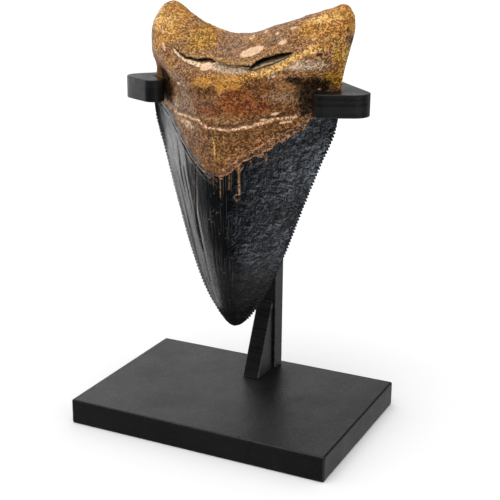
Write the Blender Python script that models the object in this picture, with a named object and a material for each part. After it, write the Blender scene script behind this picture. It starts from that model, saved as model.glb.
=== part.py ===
"""A large fossil shark tooth standing point down in a black desk stand.

The stand is a slab base, an upright post at its back, a sloping brace in front of the post and a
cradle whose two bent prongs take the tooth by its edges. The tooth is one closed solid: serrated
enamel crown, worn band and two-lobed root.

Metres, +Z up. The origin is the middle of the base's underside. -Y is the front, where the
rounded face of the tooth looks, and the post stands at +Y.
"""

import bmesh
import bpy
import numpy as np
from math import cos, pi, radians, sin, tan
from mathutils import Vector

MM = 0.001
GAP = 0.3 * MM  # between pieces that touch

# Stand: driving dimensions
BASE_WIDTH = 120.0 * MM
BASE_DEPTH = 82.8 * MM
BASE_HEIGHT = 11.2 * MM
BASE_EDGE = 0.9 * MM
SMALL_EDGE = 0.4 * MM

POST_WIDTH = 10.5 * MM
POST_FRONT = 30.9 * MM
POST_BACK = 38.8 * MM

BRACE_WIDTH = 7.8 * MM
BRACE_FOOT = 15.4 * MM  # how far the foot reaches forward of the post
BRACE_TOP = 45.0 * MM

CRADLE_BOTTOM = 139.0 * MM
CRADLE_HEIGHT = 9.4 * MM
PRONG_CORNER = Vector((60.5, 3.9)) * MM  # where a jaw's two outer faces would meet
PRONG_NOTCH = Vector((44.7, 6.4)) * MM  # bottom of the notch that takes the tooth's edge
PRONG_FRONT_ANGLE = radians(26.4)
PRONG_BACK_ANGLE = radians(46.5)
PRONG_LENGTH = 26.0 * MM  # front leg, from the corner to its round end
PRONG_WIDTH = 9.2 * MM
PRONG_CORNER_RADIUS = 7.2 * MM
NOTCH_RADIUS = 0.6 * MM
CROSSBAR_DEPTH = 9.5 * MM
CROSSBAR_INNER_RADIUS = 3.0 * MM
CROSSBAR_OUTER_RADIUS = 4.0 * MM
ARC_STEP = radians(15.0)

# Tooth, in millimetres: the outline seen square on, as (x, z), from the point up each edge and
# over the two root lobes
TOOTH_LEFT = [
    (-1.7, 41.2), (-4.6, 42.2), (-8.2, 45.4), (-16.2, 56.2), (-24.0, 73.5), (-31.2, 94.4), (-37.7, 115.2),
    (-42.6, 131.0), (-43.6, 141.0), (-41.8, 152.0), (-41.6, 162.0), (-41.8, 169.0), (-39.5, 175.4),
]
TOOTH_RIGHT = [
    (-1.7, 41.2), (1.3, 42.4), (5.4, 46.4), (13.8, 59.5), (21.6, 78.0), (28.7, 98.2), (35.7, 117.0),
    (41.4, 131.5), (43.3, 143.0), (44.2, 154.0), (46.9, 165.0), (48.9, 173.0), (48.8, 178.6),
]
TOOTH_TOP = [
    (-39.5, 175.4), (-36.4, 179.2), (-32.3, 181.0), (-27.5, 179.0), (-19.0, 173.8), (-10.5, 170.8),
    (-2.0, 169.1), (6.5, 170.2), (17.0, 173.8), (29.0, 177.8), (39.0, 181.2), (45.2, 182.6),
    (48.8, 178.6),
]

# Tooth, along its height t from 0 at the point to 1 at the top of the root:
# the sheet through both edges, and how far the two faces stand off it in the middle
EDGE_SHEET = [(0.0, 2.0), (0.22, 3.4), (0.45, 5.0), (0.70, 6.4), (0.85, 6.0), (1.0, 5.0)]
FRONT_DEPTH = [
    (0.0, 0.0), (0.03, 2.6), (0.08, 6.0), (0.16, 9.2), (0.27, 12.3), (0.40, 14.8), (0.52, 16.9),
    (0.62, 19.4), (0.72, 22.3), (0.80, 24.0), (0.86, 23.6), (0.905, 21.0), (0.95, 18.0), (1.0, 16.0),
]
BACK_DEPTH = [(0.0, 0.0), (0.05, 0.9), (0.2, 2.4), (0.45, 3.8), (0.70, 5.4), (0.85, 6.6), (1.0, 5.0)]
# how the front face falls off towards the edges: (1 - |s|^roundness)^fall
FRONT_FALL = [
    (0.0, 1.0), (0.25, 1.05), (0.50, 1.15), (0.62, 1.40), (0.70, 1.68), (0.75, 1.92),
    (0.79, 2.15), (0.835, 1.10), (0.88, 0.66), (1.0, 0.50),
]
FRONT_ROUNDNESS = [(0.0, 2.0), (0.6, 2.0), (0.78, 2.1), (0.88, 2.8), (1.0, 3.2)]
BACK_ROUNDNESS = [(0.78, 2.0), (0.93, 4.0)]
BACK_FALL = [(0.78, 1.0), (0.93, 0.5)]
SAG_FROM = 0.60  # above this the rows start to follow the dip between the lobes
RIM_FROM = 0.80  # above this both faces close round the root's top
RIM_SQUARENESS = 3

# Relief on the tooth's front face, in millimetres
RIDGE = [(-31, 137.0), (-17, 135.6), (-8, 133.3), (0, 132.9), (8, 133.9), (16, 135.5), (29, 138.4)]
RIDGE_HEIGHT = 0.7
RIDGE_HALF_WIDTH = 1.3
RIDGE_TAPER = 0.12  # share of its length over which each end dies away
BAND_EDGE = [(-38, 138.5), (-31, 135.0), (-17, 119.8), (-8, 113.2), (-2, 110.8), (7, 117.0),
             (18, 124.0), (34, 137.5)]  # where the worn band ends on the enamel
BAND_LEDGE = 0.5
BAND_LEDGE_WIDTH = 2.0
CRACKS = [  # across the root: (route, half width, depth)
    ([(-23.5, 163.6), (-15.5, 160.4), (-6.5, 159.4)], 1.4, 2.6),
    ([(-6.5, 159.4), (2.0, 158.6), (12.0, 158.6)], 0.7, 1.2),
    ([(12.0, 158.6), (19.0, 162.6), (30.0, 165.4)], 1.7, 3.4),
]
ROOT_LUMPS = 0.35  # height of the root's slow unevenness
ROOT_LUMP_WAVES = [(0.31, 0.27), (0.17, 0.23)]  # radians per millimetre along x and z
RELIEF_FROM_DEPTH = 4.0  # where the tooth is thinner than this its relief fades out

# Serrations of the two cutting edges, in millimetres
SERRATION_PITCH = 1.15
SERRATION_DEPTH = 0.5
SERRATION_PROUD = 0.4  # share of the depth outside the edge's own line
SERRATED_FROM = 0.045
SERRATED_TO = 0.70
ROW_CLEARANCE = 0.0008  # a serration this near a row is left to the row's own point

# Mesh of the tooth: rows as (up to this t, how many), closest where the relief is
POINT_ROWS = [0.0, 0.004, 0.014]
ROW_BANDS = [(0.685, 19), (0.745, 5), (0.875, 5), (0.945, 8)]
RIM_ROWS = 6
COLUMNS = 37
EDGE_CROWDING = 0.999  # 1 would set the outermost columns almost on top of each other


def clear_scene():
    for obj in list(bpy.data.objects):
        bpy.data.objects.remove(obj, do_unlink=True)


def material(name, colour, roughness, metallic=0.0):
    made = bpy.data.materials.new(name)
    made.use_nodes = True
    shader = made.node_tree.nodes["Principled BSDF"]
    shader.inputs["Base Color"].default_value = (*colour, 1.0)
    shader.inputs["Roughness"].default_value = roughness
    shader.inputs["Metallic"].default_value = metallic
    return made


def add_object(name, mesh, finish):
    obj = bpy.data.objects.new(name, mesh)
    obj.data.materials.append(finish)
    bpy.context.scene.collection.objects.link(obj)
    return obj


def bevel(obj, width, segments=1):
    edge = obj.modifiers.new("edge", "BEVEL")
    edge.width = width
    edge.segments = segments
    edge.limit_method = "ANGLE"
    edge.angle_limit = radians(40.0)


def prism(name, outline, low, high, finish, along="z"):
    """A flat outline, counter-clockwise, pulled from low to high along z, or along x as (y, z)."""
    made = bmesh.new()
    if along == "z":
        corners = [made.verts.new((p[0], p[1], low)) for p in outline]
        pull = Vector((0, 0, high - low))
    else:
        corners = [made.verts.new((low, p[0], p[1])) for p in outline]
        pull = Vector((high - low, 0, 0))
    foot = made.faces.new(corners)
    pulled = bmesh.ops.extrude_face_region(made, geom=[foot])
    moved = [v for v in pulled["geom"] if isinstance(v, bmesh.types.BMVert)]
    bmesh.ops.translate(made, verts=moved, vec=pull)
    bmesh.ops.recalc_face_normals(made, faces=made.faces)
    mesh = bpy.data.meshes.new(name)
    made.to_mesh(mesh)
    made.free()
    return add_object(name, mesh, finish)


def box(name, x, y, z, finish):
    outline = [(x[0], y[0]), (x[1], y[0]), (x[1], y[1]), (x[0], y[1])]
    return prism(name, outline, z[0], z[1], finish)


def rounded(corners):
    """The outline through (point, radius) corners, each rounded by an arc."""
    outline = []
    for i, (point, radius) in enumerate(corners):
        before = (corners[i - 1][0] - point).normalized()
        after = (corners[(i + 1) % len(corners)][0] - point).normalized()
        half = before.angle(after) / 2
        reach = radius / tan(half)
        centre = point + (before + after).normalized() * (radius / sin(half))
        start = point + before * reach - centre
        turn = (point + after * reach - centre).angle_signed(start)
        steps = max(1, round(abs(turn) / ARC_STEP))
        for k in range(steps + 1):
            angle = turn * k / steps
            outline.append(
                centre
                + Vector((
                    start.x * cos(angle) - start.y * sin(angle),
                    start.x * sin(angle) + start.y * cos(angle),
                ))
            )
    return outline


def half_cradle():
    """Corners of the cradle's right half seen from above, from the back round to the notch side."""
    front = Vector((-cos(PRONG_FRONT_ANGLE), -sin(PRONG_FRONT_ANGLE)))
    across = Vector((-sin(PRONG_FRONT_ANGLE), cos(PRONG_FRONT_ANGLE)))
    back = Vector((-cos(PRONG_BACK_ANGLE), sin(PRONG_BACK_ANGLE)))
    bar_front = POST_BACK - CROSSBAR_DEPTH
    heel = PRONG_CORNER + back * ((POST_BACK - PRONG_CORNER.y) / back.y)
    inner_heel = PRONG_NOTCH + back * ((bar_front - PRONG_NOTCH.y) / back.y)
    prong_end = PRONG_CORNER + front * PRONG_LENGTH
    end_radius = 0.495 * PRONG_WIDTH
    return [
        (inner_heel, CROSSBAR_INNER_RADIUS),
        (PRONG_NOTCH, NOTCH_RADIUS),
        (prong_end + across * PRONG_WIDTH, end_radius),
        (prong_end, end_radius),
        (PRONG_CORNER, PRONG_CORNER_RADIUS),
        (heel, CROSSBAR_OUTER_RADIUS),
    ]


def build_base(finish):
    half_width = BASE_WIDTH / 2
    half_depth = BASE_DEPTH / 2
    base = box("base", (-half_width, half_width), (-half_depth, half_depth), (0, BASE_HEIGHT), finish)
    bevel(base, BASE_EDGE, 2)
    return base


def build_post(finish):
    half = POST_WIDTH / 2
    low = BASE_HEIGHT + GAP
    high = CRADLE_BOTTOM - GAP
    post = box("post", (-half, half), (POST_FRONT, POST_BACK), (low, high), finish)
    bevel(post, SMALL_EDGE)
    return post


def build_brace(finish):
    low = BASE_HEIGHT + GAP
    back = POST_FRONT - GAP
    side = [(back - BRACE_FOOT, low), (back, low), (back, BRACE_TOP)]
    brace = prism("brace", side, -BRACE_WIDTH / 2, BRACE_WIDTH / 2, finish, along="x")
    bevel(brace, SMALL_EDGE)
    return brace


def build_cradle(finish):
    right = half_cradle()
    left = [(Vector((-point.x, point.y)), radius) for point, radius in reversed(right)]
    outline = rounded(right + left)
    cradle = prism("cradle", outline, CRADLE_BOTTOM, CRADLE_BOTTOM + CRADLE_HEIGHT, finish)
    bevel(cradle, SMALL_EDGE)
    return cradle


def ease(x):
    x = np.clip(x, 0.0, 1.0)
    return x * x * (3 - 2 * x)


def profile(knots, x):
    """A smooth curve through (x, y) knots that never overshoots them."""
    xs, ys = np.array(knots, float).T
    step = np.diff(xs)
    slope = np.diff(ys) / step
    lean = np.empty(len(xs))
    lean[0] = slope[0]
    lean[-1] = slope[-1]
    for i in range(1, len(xs) - 1):
        if slope[i - 1] * slope[i] <= 0:
            lean[i] = 0.0
            continue
        first = (step[i] * 2 + step[i - 1]) / slope[i - 1]
        second = (step[i] + step[i - 1] * 2) / slope[i]
        lean[i] = 3 * (step[i - 1] + step[i]) / (first + second)
    i = np.clip(np.searchsorted(xs, x, side="right") - 1, 0, len(xs) - 2)
    u = np.clip((x - xs[i]) / step[i], 0.0, 1.0)
    return (
        (2 * u**3 - 3 * u**2 + 1) * ys[i]
        + (u**3 - 2 * u**2 + u) * step[i] * lean[i]
        + (3 * u**2 - 2 * u**3) * ys[i + 1]
        + (u**3 - u**2) * step[i] * lean[i + 1]
    )


def along(points, share):
    """Points at these shares of the length of a smooth curve through the points given."""
    p = np.array(points, float)
    knot = np.concatenate([[0.0], np.cumsum(np.sqrt(np.linalg.norm(np.diff(p, axis=0), axis=1)))])
    slope = np.diff(p, axis=0) / np.diff(knot)[:, None]
    blend = (np.diff(knot)[:-1] / (knot[2:] - knot[:-2]))[:, None]
    tangent = np.vstack([slope[:1], slope[:-1] * (1 - blend) + slope[1:] * blend, slope[-1:]])

    def at(u):
        i = np.clip(np.searchsorted(knot, u, side="right") - 1, 0, len(p) - 2)
        h = (knot[i + 1] - knot[i])[:, None]
        x = (u - knot[i])[:, None] / h
        return (
            (2 * x**3 - 3 * x**2 + 1) * p[i]
            + (x**3 - 2 * x**2 + x) * h * tangent[i]
            + (3 * x**2 - 2 * x**3) * p[i + 1]
            + (x**3 - x**2) * h * tangent[i + 1]
        )

    u = np.linspace(0.0, knot[-1], 1501)
    steps = np.linalg.norm(np.diff(at(u), axis=0), axis=1)
    length = np.concatenate([[0.0], np.cumsum(steps)])
    return at(np.interp(np.asarray(share, float) * length[-1], length, u))


def plan(s, t):
    """(x, z) of the point s across the tooth, -1 to 1, and t up it, 0 to 1."""
    w = ((s + 1) / 2)[:, None]
    row = along(TOOTH_LEFT, t) * (1 - w) + along(TOOTH_RIGHT, t) * w
    chord = np.array(TOOTH_TOP[0]) * (1 - w) + np.array(TOOTH_TOP[-1]) * w
    sag = ease((t - SAG_FROM) / (1 - SAG_FROM))[:, None]
    return row + (along(TOOTH_TOP, w[:, 0]) - chord) * sag


def distance_to(points, x, z):
    """Distance of each (x, z) from a broken line, and how far along it, 0 to 1, the nearest is."""
    best = np.full(len(x), np.inf)
    place = np.zeros(len(x))
    count = len(points) - 1
    for i in range(count):
        a = np.array(points[i], float)
        b = np.array(points[i + 1], float)
        run = b - a
        u = np.clip(((x - a[0]) * run[0] + (z - a[1]) * run[1]) / (run @ run), 0.0, 1.0)
        away = np.hypot(x - a[0] - u * run[0], z - a[1] - u * run[1])
        nearer = away < best
        best = np.where(nearer, away, best)
        place = np.where(nearer, (i + u) / count, place)
    return best, place


def relief(x, z):
    """How far the front face is raised at (x, z), in millimetres."""
    ridge_away, ridge_place = distance_to(RIDGE, x, z)
    ridge_ends = ease(ridge_place / RIDGE_TAPER) * ease((1 - ridge_place) / RIDGE_TAPER)
    raised = RIDGE_HEIGHT * ridge_ends * np.exp(-((ridge_away / RIDGE_HALF_WIDTH) ** 2))
    band = np.interp(x, [p[0] for p in BAND_EDGE], [p[1] for p in BAND_EDGE])
    on_band = np.abs(x) < abs(BAND_EDGE[0][0])
    raised += BAND_LEDGE * ease((z - band) / BAND_LEDGE_WIDTH + 0.5) * on_band
    for route, half_width, depth in CRACKS:
        away, place = distance_to(route, x, z)
        open_here = ease(1.6 * np.sin(pi * place))
        raised -= depth * np.exp(-((away / half_width) ** 2)) * open_here
    (wave_x, wave_z), (slant_x, slant_z) = ROOT_LUMP_WAVES
    lumps = np.sin(x * wave_x + 1.0) * np.sin(z * wave_z + 0.4) + np.sin(x * slant_x - z * slant_z)
    return raised + ROOT_LUMPS * lumps * ease((z - band) / 8.0)


def tooth_face(s, t, front):
    """Points of one face of the tooth, in millimetres."""
    xz = plan(s, t)
    middle = profile(EDGE_SHEET, t)
    if front:
        roundness = profile(FRONT_ROUNDNESS, t)
        fall = profile(FRONT_FALL, t)
        depth = profile(FRONT_DEPTH, t)
    else:
        roundness = profile(BACK_ROUNDNESS, t)
        fall = profile(BACK_FALL, t)
        depth = profile(BACK_DEPTH, t)
    up_rim = np.clip((t - RIM_FROM) / (1 - RIM_FROM), 0.0, 1.0)
    depth = depth * np.sqrt(1 - up_rim**RIM_SQUARENESS)
    depth = depth * np.clip(1 - np.abs(s) ** roundness, 0.0, 1.0) ** fall
    if front:
        thick = np.clip(depth / RELIEF_FROM_DEPTH, 0.0, 1.0)
        depth = np.maximum(depth + relief(xz[:, 0], xz[:, 1]) * thick, 0.0)
    y = middle - depth if front else middle + depth
    return np.stack([xz[:, 0], y, xz[:, 1]], axis=1)


def row_heights():
    """t of each row, from the point up; the rows close up as the rim turns over."""
    rows = list(POINT_ROWS)
    low = 0.0
    for high, count in ROW_BANDS:
        rows += list(np.linspace(low, high, count + 1)[1:])
        low = high
    turn = np.linspace(0.0, pi / 2, RIM_ROWS + 1)[1:]
    return np.array(rows + list(low + (1 - low) * np.sin(turn)))


def serrated_rim(side, rows):
    """One cutting edge's small teeth: a list of (x, y, z) for each gap between two rows."""
    line = TOOTH_LEFT if side < 0 else TOOTH_RIGHT
    edge = along(line, np.linspace(0.0, 1.0, 1001))
    length = np.linalg.norm(np.diff(edge, axis=0), axis=1).sum()
    step = SERRATION_PITCH / 2 / length
    gaps = [[] for _ in range(len(rows) - 1)]
    for k, t in enumerate(np.arange(SERRATED_FROM, SERRATED_TO, step)):
        gap = int(np.searchsorted(rows, t)) - 1
        if min(t - rows[gap], rows[gap + 1] - t) < ROW_CLEARANCE:
            continue
        before, here, after = along(line, [t - step, t, t + step])
        run = after - before
        out = np.array([run[1], -run[0]]) * side / np.linalg.norm(run)
        shift = SERRATION_PROUD if k % 2 else SERRATION_PROUD - 1.0
        x, z = here + out * shift * SERRATION_DEPTH
        gaps[gap].append((x, profile(EDGE_SHEET, np.array([t]))[0], z))
    return gaps


def rim_vertices(made, side, rows):
    return [[made.verts.new(Vector(p) * MM) for p in gap] for gap in serrated_rim(side, rows)]


def grid_vertices(made, places, point, front_grid):
    """One face's vertices, row by row, from the point up; its rim is the front face's rim."""
    last = COLUMNS - 1
    top = len(places) - 1
    grid = [[point] * COLUMNS]
    for i in range(1, top + 1):
        row = []
        for j in range(COLUMNS):
            on_rim = j in (0, last) or i == top
            shared = front_grid and on_rim
            row.append(front_grid[i][j] if shared else made.verts.new(places[i, j] * MM))
        grid.append(row)
    return grid


def add_face(made, *corners):
    seen = list(dict.fromkeys(corners))
    if len(seen) > 2:
        made.faces.new(seen)


def fan_to_rim(made, grid, i, rim, inner, teeth):
    """Joins the serrated stretch of rim between rows i and i + 1 to the column inside it."""
    edge = [grid[i][rim], *teeth, grid[i + 1][rim]]
    half = len(edge) // 2
    for a, b in zip(edge[:half], edge[1:half + 1]):
        add_face(made, a, b, grid[i][inner])
    add_face(made, grid[i][inner], edge[half], grid[i + 1][inner])
    for a, b in zip(edge[half:-1], edge[half + 1:]):
        add_face(made, a, b, grid[i + 1][inner])


def build_tooth(finish):
    rows = row_heights()
    turn = pi / 2 * EDGE_CROWDING
    columns = np.sin(np.linspace(-turn, turn, COLUMNS)) / sin(turn)
    s, t = np.meshgrid(columns, rows)
    shape = (len(rows), COLUMNS, 3)
    front = tooth_face(s.ravel(), t.ravel(), True).reshape(shape)
    back = tooth_face(s.ravel(), t.ravel(), False).reshape(shape)

    made = bmesh.new()
    point = made.verts.new(front[0, 0] * MM)
    front_grid = grid_vertices(made, front, point, None)
    back_grid = grid_vertices(made, back, point, front_grid)
    last = COLUMNS - 1
    left_teeth = rim_vertices(made, -1, rows)
    right_teeth = rim_vertices(made, 1, rows)
    for grid in (front_grid, back_grid):
        for i in range(len(rows) - 1):
            for j in range(1, last - 1):
                add_face(made, grid[i][j], grid[i][j + 1], grid[i + 1][j + 1], grid[i + 1][j])
            fan_to_rim(made, grid, i, 0, 1, left_teeth[i])
            fan_to_rim(made, grid, i, last, last - 1, right_teeth[i])
    bmesh.ops.recalc_face_normals(made, faces=made.faces)
    mesh = bpy.data.meshes.new("tooth")
    made.to_mesh(mesh)
    made.free()
    mesh.shade_smooth()
    mesh.set_sharp_from_angle(angle=radians(50.0))
    return add_object("tooth", mesh, finish)


def main():
    clear_scene()
    plastic = material("stand_plastic", (0.014, 0.014, 0.015), 0.42)
    fossil = material("fossil", (0.20, 0.09, 0.035), 0.45)
    build_base(plastic)
    build_post(plastic)
    build_brace(plastic)
    build_cradle(plastic)
    build_tooth(fossil)


main()
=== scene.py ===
"""A large fossil shark tooth resting point down in a black four-piece desk stand.

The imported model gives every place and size. This file dresses it: the tooth gets a fine mesh with
its serrated edges, split root, worn band and enamel ripples, and the slab, post, brace and cradle
get crisp edges and a black satin finish.

Metres, +Z up; lengths named _MM are millimetres. -Y is the front, where the rounded face looks.
"""

from math import cos, pi, radians, sin, tan
from types import SimpleNamespace

import bmesh
import bpy
import numpy as np
from bpy.props import FloatProperty, FloatVectorProperty, PointerProperty
from mathutils import Matrix, Vector, noise


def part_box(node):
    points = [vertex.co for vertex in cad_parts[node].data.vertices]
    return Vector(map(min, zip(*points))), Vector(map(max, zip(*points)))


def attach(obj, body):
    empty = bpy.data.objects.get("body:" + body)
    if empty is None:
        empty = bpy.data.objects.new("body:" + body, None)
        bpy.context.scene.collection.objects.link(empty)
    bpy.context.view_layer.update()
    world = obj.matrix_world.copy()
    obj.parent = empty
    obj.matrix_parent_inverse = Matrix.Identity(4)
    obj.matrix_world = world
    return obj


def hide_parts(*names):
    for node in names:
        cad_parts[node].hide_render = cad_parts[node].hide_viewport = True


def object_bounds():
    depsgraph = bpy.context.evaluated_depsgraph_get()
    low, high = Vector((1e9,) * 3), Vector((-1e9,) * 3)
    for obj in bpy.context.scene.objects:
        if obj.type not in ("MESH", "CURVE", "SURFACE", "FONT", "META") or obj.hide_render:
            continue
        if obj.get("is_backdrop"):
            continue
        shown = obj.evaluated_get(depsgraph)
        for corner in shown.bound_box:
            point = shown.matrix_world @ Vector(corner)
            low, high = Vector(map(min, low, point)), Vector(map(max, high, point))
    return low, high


bl_info = {
    "name": "Fossil Shark Tooth on a Desk Stand",
    "version": (1, 0, 0),
    "blender": (4, 5, 0),
    "location": "View3D > Sidebar > Fossil",
    "description": "Builds a large serrated shark tooth resting in a black stand",
    "category": "Object",
}

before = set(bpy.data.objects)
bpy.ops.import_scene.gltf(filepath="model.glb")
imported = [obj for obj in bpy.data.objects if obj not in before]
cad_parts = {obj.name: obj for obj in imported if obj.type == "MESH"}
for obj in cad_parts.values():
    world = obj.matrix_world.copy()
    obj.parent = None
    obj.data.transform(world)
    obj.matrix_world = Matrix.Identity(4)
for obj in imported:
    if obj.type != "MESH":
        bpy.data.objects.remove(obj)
CAD_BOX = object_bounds()
MM = 0.001

# ---------------------------------------------------------------- the tooth's form, millimetres
# Outline seen square on, as (x, z), from the point up each edge and over the two root lobes
TOOTH_LEFT = [
    (-1.7, 41.2), (-4.6, 42.2), (-8.2, 45.4), (-16.2, 56.2), (-24.0, 73.5), (-31.2, 94.4),
    (-37.7, 115.2), (-42.6, 131.0), (-43.6, 141.0), (-41.8, 152.0), (-41.6, 162.0),
    (-41.8, 169.0), (-39.5, 175.4),
]
TOOTH_RIGHT = [
    (-1.7, 41.2), (1.3, 42.4), (5.4, 46.4), (13.8, 59.5), (21.6, 78.0), (28.7, 98.2),
    (35.7, 117.0), (41.4, 131.5), (43.3, 143.0), (44.2, 154.0), (46.9, 165.0), (48.9, 173.0),
    (48.8, 178.6),
]
TOOTH_TOP = [
    (-39.5, 175.4), (-36.4, 179.2), (-32.3, 181.0), (-27.5, 179.0), (-19.0, 173.8),
    (-10.5, 170.8), (-2.0, 169.1), (6.5, 170.2), (17.0, 173.8), (29.0, 177.8), (39.0, 181.2),
    (45.2, 182.6), (48.8, 178.6),
]
# Along the height t, 0 at the point and 1 at the root's top: the sheet through both edges, how far
# each face stands off it in the middle, and how that falls away, (1 - |s|^roundness)^fall
EDGE_SHEET = [(0.0, 2.0), (0.22, 3.4), (0.45, 5.0), (0.70, 6.4), (0.85, 6.0), (1.0, 5.0)]
FRONT_DEPTH = [
    (0.0, 0.0), (0.03, 2.6), (0.08, 6.0), (0.16, 9.2), (0.27, 12.3), (0.40, 14.8), (0.52, 16.9),
    (0.62, 19.4), (0.72, 22.3), (0.80, 24.0), (0.86, 23.6), (0.905, 21.0), (0.95, 18.0), (1.0, 16.0),
]
BACK_DEPTH = [(0.0, 0.0), (0.05, 0.9), (0.2, 2.4), (0.45, 3.8), (0.70, 5.4), (0.85, 6.6), (1.0, 5.0)]
FRONT_FALL = [
    (0.0, 1.0), (0.25, 1.05), (0.50, 1.15), (0.62, 1.40), (0.70, 1.68), (0.75, 1.92),
    (0.79, 2.15), (0.835, 1.10), (0.88, 0.66), (1.0, 0.50),
]
FRONT_ROUNDNESS = [(0.0, 2.0), (0.6, 2.0), (0.78, 2.1), (0.88, 2.8), (1.0, 3.2)]
BACK_ROUNDNESS = [(0.78, 2.0), (0.93, 4.0)]
BACK_FALL = [(0.78, 1.0), (0.93, 0.5)]
SAG_FROM = 0.60
RIM_FROM = 0.80
RIM_SQUARENESS = 3

# Lines on the faces, (x, z)
BAND_EDGE = [  # where the worn band ends on the front enamel
    (-44.0, 143.0), (-38.3, 138.5), (-31.6, 134.4), (-24.0, 127.2), (-16.7, 119.6), (-8.1, 113.3),
    (-4.7, 111.2), (-1.4, 110.9), (2.3, 113.5), (6.9, 117.1), (12.0, 120.2), (17.8, 124.0),
    (23.6, 128.2), (30.2, 133.4), (33.8, 137.2), (44.0, 145.0),
]
BACK_EDGE = [
    (-44.0, 143.0), (-32.0, 138.5), (-18.0, 134.0), (0.0, 131.0), (18.0, 134.5), (32.0, 139.5),
    (44.0, 145.0),
]
RIDGE = [
    (-29.0, 136.2), (-22.0, 136.0), (-16.8, 135.8), (-12.6, 135.6), (-9.5, 135.1), (-7.4, 133.9),
    (-4.9, 132.9), (-1.6, 132.6), (1.5, 132.6), (5.0, 132.9), (7.9, 133.3), (11.0, 134.1),
    (13.4, 134.7), (16.3, 135.8), (18.5, 136.4), (20.5, 137.4), (25.9, 137.9), (28.4, 138.4),
]
UPPER_RIDGE = [(6.0, 136.1), (7.5, 136.8), (10.2, 137.8), (12.8, 138.7), (15.1, 138.7)]
OUTER_RIDGE = [(16.7, 137.9), (18.6, 138.8), (21.3, 140.1), (23.1, 141.1), (25.5, 141.6)]
FISSURE_TOP = [  # upper lip of the split across the root
    (-24.3, 164.2), (-22.6, 163.3), (-20.5, 161.9), (-17.1, 160.4), (-13.2, 160.0),
    (-10.7, 160.0), (-6.3, 160.5), (-5.0, 159.8), (-2.3, 158.9), (3.6, 158.4), (8.3, 158.7),
    (12.4, 159.2), (13.2, 158.7), (14.0, 159.3), (15.2, 160.8), (18.3, 162.4), (21.6, 163.5),
    (25.2, 164.3), (30.6, 165.1),
]
FISSURE_FLOOR = [  # its lower lip
    (-24.3, 163.9), (-22.9, 161.9), (-20.8, 160.3), (-17.3, 158.1), (-12.7, 157.0), (-9.5, 156.6),
    (-6.5, 155.9), (-4.4, 157.4), (-3.6, 158.7), (3.6, 157.7), (8.3, 158.0), (11.4, 157.6),
    (13.5, 157.3), (15.5, 157.5), (18.8, 158.7), (22.3, 159.9), (25.5, 161.5), (28.5, 163.4),
    (30.6, 164.8),
]
LIP_ROLL = 0.35


def ease(x):
    x = np.clip(x, 0.0, 1.0)
    return x * x * (3 - 2 * x)


def profile(knots, x):
    """A smooth curve through (x, y) knots that never overshoots them."""
    xs, ys = np.array(knots, float).T
    step = np.diff(xs)
    slope = np.diff(ys) / step
    lean = np.concatenate([slope[:1], np.zeros(len(xs) - 2), slope[-1:]])
    for i in range(1, len(xs) - 1):
        if slope[i - 1] * slope[i] > 0:
            first = (step[i] * 2 + step[i - 1]) / slope[i - 1]
            second = (step[i] + step[i - 1] * 2) / slope[i]
            lean[i] = 3 * (step[i - 1] + step[i]) / (first + second)
    i = np.clip(np.searchsorted(xs, x, side="right") - 1, 0, len(xs) - 2)
    u = np.clip((x - xs[i]) / step[i], 0.0, 1.0)
    return (
        (2 * u**3 - 3 * u**2 + 1) * ys[i]
        + (u**3 - 2 * u**2 + u) * step[i] * lean[i]
        + (3 * u**2 - 2 * u**3) * ys[i + 1]
        + (u**3 - u**2) * step[i] * lean[i + 1]
    )


def along(points, share):
    """Points at these shares of the length of a smooth curve through the points given."""
    p = np.array(points, float)
    knot = np.concatenate([[0.0], np.cumsum(np.sqrt(np.linalg.norm(np.diff(p, axis=0), axis=1)))])
    slope = np.diff(p, axis=0) / np.diff(knot)[:, None]
    blend = (np.diff(knot)[:-1] / (knot[2:] - knot[:-2]))[:, None]
    tangent = np.vstack([slope[:1], slope[:-1] * (1 - blend) + slope[1:] * blend, slope[-1:]])

    def at(u):
        i = np.clip(np.searchsorted(knot, u, side="right") - 1, 0, len(p) - 2)
        h = (knot[i + 1] - knot[i])[:, None]
        x = (u - knot[i])[:, None] / h
        return (
            (2 * x**3 - 3 * x**2 + 1) * p[i]
            + (x**3 - 2 * x**2 + x) * h * tangent[i]
            + (3 * x**2 - 2 * x**3) * p[i + 1]
            + (x**3 - x**2) * h * tangent[i + 1]
        )

    u = np.linspace(0.0, knot[-1], 1501)
    steps = np.linalg.norm(np.diff(at(u), axis=0), axis=1)
    length = np.concatenate([[0.0], np.cumsum(steps)])
    return at(np.interp(np.asarray(share, float) * length[-1], length, u))


def plan(s, t):
    """(x, z) of the point s across the tooth, -1 to 1, and t up it, 0 to 1."""
    w = ((s + 1) / 2)[:, None]
    row = along(TOOTH_LEFT, t) * (1 - w) + along(TOOTH_RIGHT, t) * w
    chord = np.array(TOOTH_TOP[0]) * (1 - w) + np.array(TOOTH_TOP[-1]) * w
    sag = ease((t - SAG_FROM) / (1 - SAG_FROM))[:, None]
    return row + (along(TOOTH_TOP, w[:, 0]) - chord) * sag


def stand_off(s, t, front):
    """How far a face stands off the sheet through the edges."""
    roundness = profile(FRONT_ROUNDNESS if front else BACK_ROUNDNESS, t)
    fall = profile(FRONT_FALL if front else BACK_FALL, t)
    depth = profile(FRONT_DEPTH if front else BACK_DEPTH, t)
    up_rim = np.clip((t - RIM_FROM) / (1 - RIM_FROM), 0.0, 1.0)
    depth = depth * np.sqrt(1 - up_rim**RIM_SQUARENESS)
    return depth * np.clip(1 - np.abs(s) ** roundness, 0.0, 1.0) ** fall


def height_at(line, x):
    points = np.array(line)
    return np.interp(x, points[:, 0], points[:, 1])


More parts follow.
